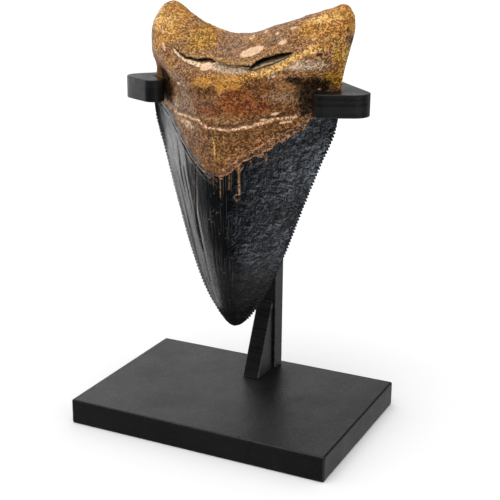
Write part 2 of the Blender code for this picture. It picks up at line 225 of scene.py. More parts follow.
def nearest(points, x, z):
    """Distance of each (x, z) from a broken line, and how far along it the nearest place is."""
    best = np.full(len(x), np.inf)
    place = np.zeros(len(x))
    start = 0.0
    for a, b in zip(np.array(points[:-1], float), np.array(points[1:], float)):
        run = b - a
        length = np.hypot(*run)
        u = np.clip(((x - a[0]) * run[0] + (z - a[1]) * run[1]) / length**2, 0.0, 1.0)
        away = np.hypot(x - a[0] - u * run[0], z - a[1] - u * run[1])
        place = np.where(away < best, start + u * length, place)
        best = np.minimum(best, away)
        start += length
    return best, place


def distance_to(points, x, z):
    return nearest(points, x, z)[0]


def above(line, x, z):
    """Signed distance from a line that runs left to right, positive above it."""
    return distance_to(line, x, z) * np.sign(z - height_at(line, x))


def spots(marks, x, z, edge=2):
    """Strength at (x, z) of oval marks given as (x, z, half width, half height, tilt, strength)."""
    clear = np.ones(len(x))
    for mx, mz, wide, high, tilt, strength in marks:
        c, s = cos(radians(tilt)), sin(radians(tilt))
        u = ((x - mx) * c + (z - mz) * s) / wide
        v = ((z - mz) * c - (x - mx) * s) / high
        clear *= 1 - strength * np.exp(-((u * u + v * v) ** (edge / 2)))
    return 1 - clear


def rough(points, scale, octaves=3, seed=0.0):
    """Cloudy noise from about -1 to 1 at each point; scale is its coarsest wave, millimetres."""
    offset = Vector((seed, seed * 1.7, -seed))
    return np.array([
        noise.fractal(Vector(p) / scale + offset, 0.9, 2.1, octaves) for p in points
    ])


# ---------------------------------------------------------------- settings a user would change
def length_mm(name, text, value):
    return FloatProperty(name=name, description=text, default=value * MM, unit="LENGTH", precision=5)


def tint(name, text, value):
    return FloatVectorProperty(
        name=name, description=text, default=value, subtype="COLOR", size=3, min=0.0, max=1.0
    )


class ToothSettings(bpy.types.PropertyGroup):
    serration_pitch: length_mm("Serration pitch", "Length of one small tooth of the edges", 1.5)
    serration_depth: length_mm("Serration depth", "How deep the edges are notched", 0.85)
    pit_depth: length_mm("Pit depth", "Depth of the root's open grain", 0.34)
    root: tint("Root", "Brown of the root between its stains", (0.36, 0.168, 0.060))
    enamel: tint("Enamel", "Black of the crown", (0.0014, 0.0018, 0.0026))


class StandSettings(bpy.types.PropertyGroup):
    edge_radius: length_mm("Slab edge", "Rounding of the slab's edges", 0.9)
    small_edge: length_mm("Bar edge", "Rounding of the bars' edges", 0.4)
    plastic: tint("Plastic", "Black of the stand", (0.0084, 0.0084, 0.0088))
    roughness: FloatProperty(
        name="Roughness", description="Satin of the stand", default=0.42, min=0.0, max=1.0,
        subtype="FACTOR",
    )


class StageSettings(bpy.types.PropertyGroup):
    floor_radius: length_mm("Floor radius", "Radius of the pale floor", 6000.0)
    floor_tone: tint("Floor", "Colour of the floor", (0.94, 0.94, 0.94))
    daylight: FloatProperty(
        name="Daylight", description="Strength of the even light", default=1.16, min=0.0
    )


# ---------------------------------------------------------------- shader building
class Shade:
    """Short calls that add nodes to a node tree and link them."""

    def __init__(self, tree):
        self.tree = tree

    def add(self, kind, **settings):
        node = self.tree.nodes.new(kind)
        count = len(self.tree.nodes)
        node.location = (180 * (count % 12), -220 * (count // 12))
        for name, value in settings.items():
            setattr(node, name, value)
        return node

    def plug(self, socket, value):
        if isinstance(value, bpy.types.NodeSocket):
            self.tree.links.new(value, socket)
        elif value is not None:
            socket.default_value = value

    def math(self, operation, *values, clamp=False):
        node = self.add("ShaderNodeMath", operation=operation, use_clamp=clamp)
        for socket, value in zip(node.inputs, values):
            self.plug(socket, value)
        return node.outputs[0]

    def minus(self, value, taken):
        return self.math("SUBTRACT", value, taken)

    def times(self, first, *values):
        for value in values:
            first = self.math("MULTIPLY", first, value)
        return first

    def scale_add(self, value, factor, offset, clamp=False):
        return self.math("MULTIPLY_ADD", value, factor, offset, clamp=clamp)

    def step(self, value, low, high, start=0.0, end=1.0):
        """Eases from start to end as value goes from low to high."""
        node = self.add("ShaderNodeMapRange", interpolation_type="SMOOTHSTEP")
        for name, given in (
            ("Value", value), ("From Min", low), ("From Max", high), ("To Min", start), ("To Max", end)
        ):
            self.plug(node.inputs[name], given)
        return node.outputs["Result"]

    def within(self, value, low, high, soft):
        """One where value lies between low and high, with soft edges."""
        return self.times(
            self.step(value, low - soft, low + soft), self.step(value, high + soft, high - soft)
        )

    def blend(self, share, first, second):
        """The value that lies this share of the way from first to second."""
        node = self.add("ShaderNodeMix", data_type="FLOAT")
        for socket, value in zip(node.inputs[:4], (share, None, first, second)):
            self.plug(socket, value)
        return node.outputs[0]

    def mix(self, share, first, second, blend="MIX"):
        node = self.add("ShaderNodeMix", data_type="RGBA", blend_type=blend)
        colours = [i for i in node.inputs if i.type == "RGBA"]
        self.plug(node.inputs[0], share)
        for socket, value in zip(colours, (first, second)):
            self.plug(socket, (*value, 1.0) if isinstance(value, tuple) else value)
        return next(o for o in node.outputs if o.type == "RGBA")

    def noise(self, place, scale, detail=3.0, rough=0.55, bend=0.0):
        """Cloudy noise; scale is in waves per metre."""
        node = self.add("ShaderNodeTexNoise")
        self.plug(node.inputs["Vector"], place)
        for name, given in (
            ("Scale", scale), ("Detail", detail), ("Roughness", rough), ("Distortion", bend)
        ):
            self.plug(node.inputs[name], given)
        return node.outputs[0]

    def cells(self, place, scale, feature="F1", randomness=1.0):
        node = self.add("ShaderNodeTexVoronoi", feature=feature)
        self.plug(node.inputs["Vector"], place)
        self.plug(node.inputs["Scale"], scale)
        self.plug(node.inputs["Randomness"], randomness)
        return node.outputs["Distance"]

    def grit(self, place, scale):
        """One random value, from 0 to 1, for each small cell."""
        node = self.add("ShaderNodeTexVoronoi")
        self.plug(node.inputs["Vector"], place)
        self.plug(node.inputs["Scale"], scale)
        split = self.add("ShaderNodeSeparateColor")
        self.plug(split.inputs[0], node.outputs["Color"])
        return split.outputs[0]

    def stretch(self, place, x, y, z):
        node = self.add("ShaderNodeMapping")
        self.plug(node.inputs["Vector"], place)
        node.inputs["Scale"].default_value = (x, y, z)
        return node.outputs["Vector"]

    def ramp(self, value, stops):
        """A colour ramp through (place, colour) stops."""
        node = self.add("ShaderNodeValToRGB")
        self.plug(node.inputs["Fac"], value)
        elements = node.color_ramp.elements
        while len(elements) > 1:
            elements.remove(elements[-1])
        for i, (place, colour) in enumerate(stops):
            element = elements[0] if i == 0 else elements.new(place)
            element.position = place
            element.color = (*colour, 1.0)
        return node.outputs["Color"]

    def mark(self, name):
        """A value stored on the mesh."""
        return self.add("ShaderNodeAttribute", attribute_name=name).outputs["Fac"]

    def own_place(self):
        return self.add("ShaderNodeTexCoord").outputs["Object"]

    def group(self, tree, **values):
        node = self.add("ShaderNodeGroup", node_tree=tree)
        for name, value in values.items():
            self.plug(node.inputs[name.replace("_", " ")], value)
        return node.outputs

    def bump(self, height, distance, strength=1.0):
        node = self.add("ShaderNodeBump")
        self.plug(node.inputs["Height"], height)
        node.inputs["Distance"].default_value = distance
        node.inputs["Strength"].default_value = strength
        return node.outputs["Normal"]


def new_group(name, inputs, outputs):
    """An empty shader node group with named float or vector inputs and outputs."""
    tree = bpy.data.node_groups.new(name, "ShaderNodeTree")
    for direction, sockets in (("INPUT", inputs), ("OUTPUT", outputs)):
        for label, kind, value in sockets:
            socket = tree.interface.new_socket(label, in_out=direction, socket_type=kind)
            if value is not None:
                socket.default_value = value
    shade = Shade(tree)
    start = shade.add("NodeGroupInput")
    end = shade.add("NodeGroupOutput")
    return shade, start.outputs, end.inputs


FLOAT = "NodeSocketFloat"
VECTOR = "NodeSocketVector"
# Waves per metre of the plastic, and how it rises and shines
PLASTIC_GRAIN = {"Waves": 1300.0, "Slow_Waves": 60.0, "Tone_Range": 2.0}
COURSE_WAVES = (12.0, 12.0, 1000.0)
SPECK_WAVES = 900.0
SPECK_TONE = 2.2
COURSE_TONE = 2.6
PLASTIC_SPECULAR = 0.36
PLASTIC_BUMP = 0.16 * MM


def grain_group():
    """Fine uneven grain: a height for bump, and a tone that varies round 1."""
    if "Fine Grain" in bpy.data.node_groups:
        return bpy.data.node_groups["Fine Grain"]
    shade, given, out = new_group(
        "Fine Grain",
        [("Place", VECTOR, None), ("Waves", FLOAT, 1500.0), ("Slow Waves", FLOAT, 60.0),
         ("Tone Range", FLOAT, 0.2)],
        [("Height", FLOAT, None), ("Tone", FLOAT, None)],
    )
    fine = shade.noise(given["Place"], given["Waves"], 3.0, 0.6)
    slow = shade.noise(given["Place"], given["Slow Waves"], 4.0, 0.6)
    swing = shade.math("ADD", shade.times(slow, 0.5), shade.times(fine, 0.5))
    tone = shade.scale_add(shade.minus(swing, 0.5), given["Tone Range"], 1.0)
    shade.plug(out["Height"], fine)
    shade.plug(out["Tone"], tone)
    return shade.tree


def new_material(name):
    made = bpy.data.materials.new(name)
    made.use_nodes = True
    shade = Shade(made.node_tree)
    shader = made.node_tree.nodes["Principled BSDF"]
    return made, shade, shader


def stand_finish(name, settings, layers, roughness, tone_scale=1.0):
    """Black satin plastic; layers is how strongly its printed courses show, the last number how pale it
    is, paler for painted edge highlights.
    """
    made, shade, shader = new_material(name)
    place = shade.own_place()
    grain = shade.group(grain_group(), Place=place, **PLASTIC_GRAIN)
    courses = shade.noise(shade.stretch(place, *COURSE_WAVES), 1.0, 2.0, 0.6)
    height = shade.scale_add(courses, layers, grain["Height"])
    speck = shade.step(shade.noise(place, SPECK_WAVES, 2.0, 0.5), 0.66, 0.74)
    dark = tuple(tone_scale * c for c in settings.plastic)
    tone = shade.mix(speck, dark, tuple(SPECK_TONE * c for c in dark))
    course = shade.step(courses, 0.35, 0.65, 0.0, min(layers, 1.0))
    tone = shade.mix(course, tone, tuple(COURSE_TONE * c for c in dark))
    tone = shade.mix(1.0, tone, grain["Tone"], blend="MULTIPLY")
    shade.plug(shader.inputs["Base Color"], tone)
    shade.plug(shader.inputs["Roughness"], shade.times(grain["Tone"], roughness))
    shader.inputs["Specular IOR Level"].default_value = PLASTIC_SPECULAR
    shade.plug(shader.inputs["Normal"], shade.bump(height, PLASTIC_BUMP, 0.8))
    return made


# ---------------------------------------------------------------- the stand's pieces
PRONG_CORNER = Vector((60.5, 3.9)) * MM
PRONG_NOTCH = Vector((44.7, 6.4)) * MM
PRONG_FRONT_ANGLE = radians(26.4)
PRONG_BACK_ANGLE = radians(46.5)
PRONG_LENGTH = 26.0 * MM
PRONG_WIDTH = 9.2 * MM
PRONG_CORNER_RADIUS = 7.2 * MM
NOTCH_RADIUS = 0.6 * MM
CROSSBAR_DEPTH = 9.5 * MM
CROSSBAR_INNER_RADIUS = 3.0 * MM
CROSSBAR_OUTER_RADIUS = 4.0 * MM
ARC_STEP = radians(6.0)
FOOT_FLARE = 0.3 * MM
FOOT_FLARE_HEIGHT = 0.45 * MM
SLAB_ROUGHNESS = 0.36
UPRIGHT_ROUGHNESS = 0.8  # as a share of the stand's
UPRIGHT_LAYERS = 0.5


def prism(name, outline, low, high, along_x=False):
    """A flat outline pulled from low to high along z, or along x as (y, z)."""
    made = bmesh.new()
    place = (lambda p, h: (h, p[0], p[1])) if along_x else (lambda p, h: (p[0], p[1], h))
    foot = made.faces.new([made.verts.new(place(p, low)) for p in outline])
    pulled = bmesh.ops.extrude_face_region(made, geom=[foot])
    moved = [v for v in pulled["geom"] if isinstance(v, bmesh.types.BMVert)]
    bmesh.ops.translate(made, verts=moved, vec=Vector(place((0, 0), high - low)))
    bmesh.ops.recalc_face_normals(made, faces=made.faces)
    return finished(name, made)


def block(name, low, high):
    outline = [(low.x, low.y), (high.x, low.y), (high.x, high.y), (low.x, high.y)]
    return prism(name, outline, low.z, high.z)


def finished(name, made):
    mesh = bpy.data.meshes.new(name)
    made.to_mesh(mesh)
    made.free()
    obj = bpy.data.objects.new(name, mesh)
    bpy.context.scene.collection.objects.link(obj)
    return obj


def round_edges(obj, radius, segments=4):
    """Rounds the sharp edges; the rounding takes the object's second material, paler to paint their
    highlight.
    """
    edge = obj.modifiers.new("rounded edges", "BEVEL")
    edge.material = 1
    edge.width = radius
    edge.segments = segments
    edge.limit_method = "ANGLE"
    edge.angle_limit = radians(40.0)
    edge.harden_normals = True
    obj.data.shade_smooth()


def rounded(corners):
    """The outline through (point, radius) corners, each rounded by an arc."""
    outline = []
    for i, (point, radius) in enumerate(corners):
        before = (corners[i - 1][0] - point).normalized()
        after = (corners[(i + 1) % len(corners)][0] - point).normalized()
        half = before.angle(after) / 2
        reach = radius / tan(half)
        centre = point + (before + after).normalized() * (radius / sin(half))
        start = point + before * reach - centre
        turn = (point + after * reach - centre).angle_signed(start)
        steps = max(1, round(abs(turn) / ARC_STEP))
        for k in range(steps + 1):
            outline.append(centre + Matrix.Rotation(turn * k / steps, 2) @ start)
    return outline


def half_cradle(back_of_bar):
    """Corners of the cradle's right half seen from above, from the back round to the notch."""
    front = Vector((-cos(PRONG_FRONT_ANGLE), -sin(PRONG_FRONT_ANGLE)))
    across = Vector((-sin(PRONG_FRONT_ANGLE), cos(PRONG_FRONT_ANGLE)))
    back = Vector((-cos(PRONG_BACK_ANGLE), sin(PRONG_BACK_ANGLE)))
    front_of_bar = back_of_bar - CROSSBAR_DEPTH
    prong_end = PRONG_CORNER + front * PRONG_LENGTH
    end_radius = 0.495 * PRONG_WIDTH
    return [
        (PRONG_NOTCH + back * ((front_of_bar - PRONG_NOTCH.y) / back.y), CROSSBAR_INNER_RADIUS),
        (PRONG_NOTCH, NOTCH_RADIUS),
        (prong_end + across * PRONG_WIDTH, end_radius),
        (prong_end, end_radius),
        (PRONG_CORNER, PRONG_CORNER_RADIUS),
        (PRONG_CORNER + back * ((back_of_bar - PRONG_CORNER.y) / back.y), CROSSBAR_OUTER_RADIUS),
    ]


def dress(obj, node, slot, *finishes):
    for finish in finishes:
        obj.data.materials.append(finish)
    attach(obj, "root")
    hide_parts(node)
    return obj


def flare_foot(obj, low):
    """Spreads the lowest edge a little, as the first printed course spreads."""
    middle = sum((v.co for v in obj.data.vertices), Vector()) / len(obj.data.vertices)
    made = bmesh.new()
    made.from_mesh(obj.data)
    bmesh.ops.bisect_plane(
        made, geom=[*made.verts, *made.edges, *made.faces], dist=1e-7,
        plane_co=(0, 0, low + FOOT_FLARE_HEIGHT), plane_no=(0, 0, 1),
    )
    for v in made.verts:
        if v.co.z < low + FOOT_FLARE_HEIGHT / 2:
            v.co.x += FOOT_FLARE * (1 if v.co.x > middle.x else -1)
    made.to_mesh(obj.data)
    made.free()


class FOSSIL_OT_base(bpy.types.Operator):
    """Build the black slab the stand stands on"""

    bl_idname = "fossil.base"
    bl_label = "Slab Base"

    def execute(self, context):
        settings = context.scene.fossil_stand
        low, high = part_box("base")
        slab = block("slab_base", low, high)
        round_edges(slab, settings.edge_radius)
        body = stand_finish("slab black", settings, 0.0, SLAB_ROUGHNESS)
        # the paler edge finish paints a highlight along the rounded edges
        painted_edge_highlight = stand_finish("slab edge", settings, 0.0, SLAB_ROUGHNESS, 1.4)
        dress(slab, "base", "stand_plastic", body, painted_edge_highlight)
        return {"FINISHED"}


class FOSSIL_OT_upright(bpy.types.Operator):
    """Build the post and the brace in front of it"""

    bl_idname = "fossil.upright"
    bl_label = "Post and Brace"

    def execute(self, context):
        settings = context.scene.fossil_stand
        roughness = UPRIGHT_ROUGHNESS * settings.roughness
        finish = stand_finish("upright black", settings, UPRIGHT_LAYERS, roughness)
        # the paler edge finish paints a highlight along the rounded edges
        painted_edge_highlight = stand_finish("upright edge", settings, UPRIGHT_LAYERS, roughness, 6.0)
        low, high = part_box("post")
        post = block("upright_post", low, high)
        flare_foot(post, low.z)
        round_edges(post, settings.small_edge)
        dress(post, "post", "stand_plastic", finish, painted_edge_highlight)

        low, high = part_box("brace")
        side = [(low.y, low.z), (high.y, low.z), (high.y, high.z)]
        brace = prism("sloping_brace", side, low.x, high.x, along_x=True)
        flare_foot(brace, low.z)
        round_edges(brace, settings.small_edge)
        dress(brace, "brace", "stand_plastic", finish, painted_edge_highlight)
        return {"FINISHED"}


class FOSSIL_OT_cradle(bpy.types.Operator):
    """Build the bent cradle that takes the tooth by its edges"""

    bl_idname = "fossil.cradle"
    bl_label = "Cradle"

    def execute(self, context):
        settings = context.scene.fossil_stand
        low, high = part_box("cradle")
        right = half_cradle(high.y)
        left = [(Vector((-point.x, point.y)), radius) for point, radius in reversed(right)]
        cradle = prism("bent_cradle", rounded(right + left), low.z, high.z)
        round_edges(cradle, settings.small_edge)
        finish = stand_finish("cradle black", settings, 1.0, settings.roughness, 0.5)
        # the paler edge finish paints a highlight along the rounded edges
        painted_edge_highlight = stand_finish("cradle edge", settings, 1.0, settings.roughness, 1.4)
        dress(cradle, "cradle", "stand_plastic", finish, painted_edge_highlight)
        return {"FINISHED"}


# ---------------------------------------------------------------- the tooth's marks, millimetres
# Stains of the root, as (x, z, half width, half height, tilt in degrees, strength)
STAINS = {
    "ochre": [
        (-32, 177, 8, 6, 0, 1.0), (-28, 171, 9, 6, -20, 0.9), (6, 151.5, 11, 4.6, -2, 0.80),
        (-6, 150.8, 6, 3.5, 0, 0.8), (44, 177, 7, 6, 0, 1.0), (36, 174.5, 9, 4, 14, 0.8),
        (-34, 165, 5, 7, 0, 0.5), (17, 155.6, 7, 1.8, 12, 0.7), (40, 168, 7, 3, 0, 0.5),
        (2, 139, 6, 2, 0, 0.4), (-24, 157, 4, 4, 0, 0.5),
    ],
    "olive": [
        (-13.5, 168.0, 7, 4.5, -30, 1.0), (-1.5, 125, 5, 9, 0, 0.42), (45.5, 162, 3, 8, 0, 0.8),
        (41, 153, 5, 4, 0, 0.9), (10, 168, 8, 2.5, 10, 0.5), (-17, 163, 5, 2, -20, 0.4),
    ],
    "rust": [
        (8.5, 144.5, 7.5, 6.5, 0, 1.0), (-4.0, 139.6, 6, 3, 0, 0.7), (18, 143, 5, 3, 15, 0.5),
    ],
    "mauve": [
        (-22, 147, 7, 12, 0, 0.9), (-20, 141, 7, 6, 0, 0.8), (23, 146, 8, 4, 0, 0.72),
        (-23, 165, 5, 3, 0, 0.4), (2, 164, 9, 4, 0, 0.7), (20, 169, 7, 3, 15, 0.6),
    ],
    # dark stains; the four beside the cradle's prongs, at (36, 151.4), (33, 147), (-36, 149) and (-33,
    # 143), are painted shadow of the prongs
    "dark": [
        (-5.0, 148.2, 1.4, 3.4, 38, 0.5), (-8.8, 147.0, 1.6, 3.0, 30, 0.42),
        (36, 151.4, 5, 3, 0, 0.6), (33, 147, 5.6, 7.5, 0, 1.0), (28.6, 153.8, 2.6, 1.8, 10, 0.6),
        (-36, 149, 3, 6, 0, 0.85), (-33, 143, 4, 4, 0, 0.8), (24, 131, 9, 1.4, 18, 0.4),
        (48, 169, 1.2, 6, 0, 0.5), (-30, 139, 4, 1.6, -10, 0.6), (32, 140, 4, 2.0, 10, 0.5),
        (0.4, 139.6, 3.5, 0.8, 15, 0.5), (22.6, 154.6, 1.8, 1.2, 0, 0.4),
    ],
    "grey": [
        (-39, 165, 3.5, 11, 0, 0.6), (1, 157.6, 9, 0.7, -3, 0.4), (46.5, 158, 1.5, 8, 0, 0.6),
    ],
    "gold": [
        (25, 159.4, 8, 1.6, 27, 1.0), (17, 157.0, 5, 1.3, 10, 0.9), (37, 177.4, 8, 1.6, 12, 0.5),
        (-35, 173, 2.5, 6, 10, 0.5), (30, 162.4, 5, 1.2, 27, 0.7), (38, 166.0, 4, 1.6, 10, 0.5),
        (-3.2, 125, 0.45, 7, 0, 0.75), (1.4, 127, 0.4, 5, 0, 0.65), (-10, 171, 4, 0.8, -25, 0.5),
        (-31, 175, 8, 5, -15, 0.36), (-27, 170, 8, 5, 0, 0.34), (34, 171, 9, 6, 10, 0.38),
        (44, 178, 7, 4, 10, 0.30), (-14, 168, 6, 4, -30, 0.30),
    ],
    "brown": [
        (-9.8, 144.5, 4.5, 6.5, 15, 0.95), (-2.2, 144.6, 4.0, 6.5, 0, 1.0),
        (17, 151, 6.5, 4.5, 0, 0.85), (23, 141, 9, 4, 5, 0.75), (14, 143, 4, 5, 0, 0.5),
        (-16, 168, 3, 1.5, 0, 0.3), (14, 139, 6, 2.5, 8, 0.5),
    ],
    "lilac": [
        (32.3, 160.0, 5.2, 2.7, 0, 1.0), (22.4, 155.6, 1.8, 1.2, 20, 0.8),
        (4, 156.9, 14, 1.9, -3, 1.0), (-19, 132.6, 7, 2.2, -12, 0.75),
        (39.5, 170.5, 7, 2.6, 15, 0.6), (-26, 149, 2, 6, 0, 0.6), (-25.5, 139, 3, 5, 0, 0.6),
        (6, 162, 5, 1.2, 10, 0.3), (-33.5, 158, 2, 5, 0, 0.5), (39, 160, 3, 2.4, 0, 0.6),
        (-36, 168, 4, 9, 0, 0.30),
    ],
}
# How strong each stain is on the back, where noise places it
BACK_STAINS = {
    "ochre": 0.8, "olive": 0.35, "rust": 0.2, "mauve": 0.7, "dark": 0.3, "grey": 0.25, "gold": 0.25,
    "brown": 0.4, "lilac": 0.25,
}
GRAINY_ZONES = [
    (42, 158, 7, 14, 0, 1.0), (0, 127, 22, 6, 0, 0.9), (26, 134, 9, 3, 20, 1.0),
    (-37, 160, 4, 16, 0, 0.7), (34, 150, 7, 8, 0, 0.9), (-22, 147, 7, 10, 0, 0.8),
]
SMOOTH_ZONES = [(5, 163, 14, 5, 5, 1.0), (7, 143, 11, 7, 0, 0.6), (32, 160, 5, 3, 0, 0.6)]
PALE_MARKS = [
    (11.3, 164.0, 5.6, 1.75, 19, 1.0), (24.5, 168.3, 2.2, 1.2, 15, 0.6),
    (13.9, 171.1, 0.8, 0.5, 0, 1.0), (20.2, 171.2, 0.9, 0.5, 0, 1.0),
    (27.0, 173.6, 1.6, 0.5, 20, 1.0), (35.6, 149.1, 0.8, 0.5, 0, 0.6),
    (34.0, 160.9, 1.3, 0.6, 10, 0.45), (37.4, 159.8, 0.8, 0.5, 0, 0.5),
    (-20.3, 149.4, 1.4, 0.7, 20, 0.7), (-7.0, 157.3, 2.7, 1.5, 5, 1.0),
    (27.6, 138.0, 1.1, 0.6, 10, 0.8), (25.8, 136.2, 1.2, 0.5, 10, 0.7),
    (-18.0, 133.0, 2.2, 0.6, -20, 0.7), (-0.6, 146.0, 2.2, 0.25, 40, 0.4),
    (7.9, 168.8, 1.1, 0.9, 0, 1.0), (21.3, 139.6, 1.6, 0.6, 15, 0.9),
    (17.4, 137.4, 1.5, 0.5, 5, 0.8), (-31.0, 170.0, 0.6, 3.0, 20, 0.5),
    (-28.3, 163.6, 0.6, 2.2, 32, 1.0), (31.0, 157.2, 1.1, 0.5, 5, 0.4),
    (23.5, 135.8, 1.3, 0.5, 10, 0.8),
]
BLACK_MARKS = [
    (20.6, 168.7, 0.8, 0.6, 0, 0.8), (39.1, 164.1, 1.3, 0.7, 20, 0.9),
    (-2.6, 143.6, 0.5, 3.6, 28, 0.6), (7.9, 168.8, 0.45, 0.35, 0, 1.0),
    (24.0, 132.6, 3.0, 0.5, 24, 0.8), (12.5, 122.6, 1.6, 0.7, 25, 0.9),
    (2.6, 117.0, 1.3, 0.9, 0, 0.8), (29.8, 142.6, 2.6, 0.5, 15, 0.7),
    (47.6, 173.4, 0.5, 1.6, 0, 0.6), (13.6, 157.9, 1.0, 0.6, 0, 0.9),
    (19.0, 138.0, 2.4, 0.4, 20, 0.7), (10.0, 136.2, 3.0, 0.4, 12, 0.6),
]
# Runs of stain down the enamel, as (points, half width, strength)
DRIPS = [
    ([(-1.6, 111.6), (-1.9, 107.0), (-2.0, 103.2)], 0.24, 0.7),
    ([(2.6, 114.4), (2.3, 110.5), (2.2, 107.0)], 0.5, 0.35),
    ([(-5.0, 111.6), (-5.3, 106.4)], 0.22, 0.4),
    ([(7.0, 117.6), (6.6, 115.2), (6.4, 108.0), (6.3, 104.9)], 0.34, 1.0),
    ([(5.6, 116.4), (6.6, 114.6)], 0.3, 0.9),
    ([(8.4, 117.0), (7.0, 115.0)], 0.25, 0.8),
    ([(6.3, 104.9), (5.2, 104.9), (4.1, 103.6), (5.2, 101.9), (6.5, 103.0)], 0.22, 0.6),
    ([(17.2, 122.4), (17.1, 118.4)], 0.30, 0.7),
    ([(11.5, 119.4), (11.6, 116.9)], 0.25, 0.5),
    ([(-15.4, 116.4), (-16.2, 108.0), (-17.1, 97.0)], 0.20, 0.3),
    ([(-14.8, 116.0), (-12.4, 116.3)], 0.3, 0.8),
    ([(-10.8, 113.6), (-8.6, 113.1)], 0.34, 0.9),
    ([(-7.4, 113.6), (-7.2, 110.6)], 0.25, 0.6),
]
COPPER_LINES = [
    ([(5.2, 118.2), (8.2, 122.2), (13.9, 124.9), (17.3, 127.5), (20.5, 129.3)], 0.5, 0.9),
    ([(1.6, 118.0), (3.6, 119.0), (5.4, 121.4), (6.9, 121.7)], 0.6, 0.7),
]
COPPER_MARKS = [
    (2.6, 119.8, 2.0, 1.2, 30, 0.9), (5.0, 117.7, 1.5, 1.0, 0, 0.9), (8.6, 121.2, 2.0, 0.7, 25, 0.8),
    (0.6, 115.4, 1.4, 1.0, 0, 0.7), (6.4, 124.6, 0.7, 0.9, 0, 0.7), (14.9, 128.4, 2.4, 1.6, 15, 0.5),
]
SCRATCHES = [
    ([(1.9, 87.3), (1.4, 70.0), (0.5, 54.8)], 0.35, 0.8),
    ([(-5.5, 101.0), (-4.6, 92.0), (-4.2, 84.0)], 0.35, 0.5),
    ([(-3.1, 98.0), (-2.6, 83.0)], 0.3, 0.5),
    ([(-0.8, 96.0), (-0.4, 81.0)], 0.3, 0.5),
    ([(-20.6, 101.0), (-15.8, 84.0), (-11.5, 66.0)], 0.3, 0.5),
]
FOLD_CENTRE = (26.0, 113.0)
FOLD_PITCH = 1.15
FOLD_REACH = 4.5
FLUTES = 4.5
FLUTE_HEIGHT = 0.50
CREST = [(-24.4, 112.0), (-18.2, 90.4), (-14.1, 76.9), (-10.8, 62.4)]
FURROW = [(-14.5, 115.4), (-15.4, 104.0), (-15.8, 92.3), (-13.0, 78.0)]
CREST_HEIGHT = 0.22
FOLD_ZONE = [(32.0, 127.0, 13, 10, 30, 1.0), (24.0, 113.0, 9, 9, 0, 0.7)]

# Fineness of the tooth's mesh
BLADE_ROW = 0.60
ROOT_ROW = 0.42
FINE_FROM = 0.46  # share of the height above which rows are root rows
TURN_FROM = 0.93
TURN_ROWS = 22
COLUMNS = 208
CROWDING = 0.6
STRIP_WIDTH = 1.3
FINE_PER_ROW = 3
BACK_STEP = 3

# Relief of the tooth, millimetres, and the shares of the height that are serrated
SERRATED_FROM = 0.04
SERRATED_TO = 0.71
BAND_LEDGE = 0.45
BAND_STEPS = ((0.16, -1.2), (-0.2, -2.1), (0.14, -3.0))  # (lift, place) below it on the left
# Each ridge's line, height and half width
RIDGES = ((RIDGE, 0.75, 1.0), (UPPER_RIDGE, 0.5, 0.8), (OUTER_RIDGE, 0.5, 0.9))
RELIEF_FROM = 3.0
FOLD_HEIGHT = 0.20
COPPER_HEIGHT = 0.3
DIMPLE_HEIGHT = 0.32
ROOT_LUMPS = 0.35


def rows_up():
    """Share of the height of each row of the mesh, from the point up."""
    length = np.hypot(*np.diff(along(TOOTH_LEFT, np.linspace(0, 1, 400)), axis=0).T).sum()
    blade = np.linspace(0.0, FINE_FROM, round(FINE_FROM * length / BLADE_ROW) + 1)
    root = np.linspace(FINE_FROM, TURN_FROM, round((TURN_FROM - FINE_FROM) * length / ROOT_ROW) + 1)
    turn = np.sin(np.linspace(0.0, pi / 2, TURN_ROWS + 1)[1:])
    return np.concatenate([blade, root[1:], TURN_FROM + (1 - TURN_FROM) * turn])


def between(rows, parts):
    """The rows with parts - 1 more between each two."""
    places = np.arange((len(rows) - 1) * parts + 1) / parts
    return np.interp(places, np.arange(len(rows)), rows)


def strip_share(t):
    """Width of the fine strip along each edge, as a share of half the tooth's width."""
    half = np.linalg.norm(along(TOOTH_RIGHT, t) - along(TOOTH_LEFT, t), axis=1) / 2
    return np.minimum(STRIP_WIDTH / np.maximum(half, 1e-6), 0.35)


class Sheet:
    """Gathers vertices as (s, t, front) places and the faces between them."""

    def __init__(self):
        self.places = []
        self.faces = []
        self.count = 0

    def put(self, s, t, front):
        """Adds a vertex for each place and gives their numbers in the same layout."""
        s, t = np.broadcast_arrays(s, t)
        self.places.append(np.stack([s.ravel(), t.ravel(), np.full(s.size, float(front))]))
        numbers = np.arange(self.count, self.count + s.size).reshape(s.shape)
        self.count += s.size
        return numbers

    def weave(self, grid, front):
        a, b, c, d = grid[:-1, :-1], grid[:-1, 1:], grid[1:, 1:], grid[1:, :-1]
        order = (a, b, c, d) if front else (d, c, b, a)
        self.faces += np.stack([corner.ravel() for corner in order], axis=1).tolist()

    def fan(self, fine, coarse, flip):
        """Joins a fine line of vertices to a coarse one beside it."""
        for i in range(len(coarse) - 1):
            f = fine[i * FINE_PER_ROW:(i + 1) * FINE_PER_ROW + 1]
            made = [(f[0], f[1], coarse[i]), (f[1], f[2], coarse[i])]
            made += [(f[2], coarse[i + 1], coarse[i]), (f[2], f[3], coarse[i + 1])]
            self.faces += [face[::-1] for face in made] if flip else made


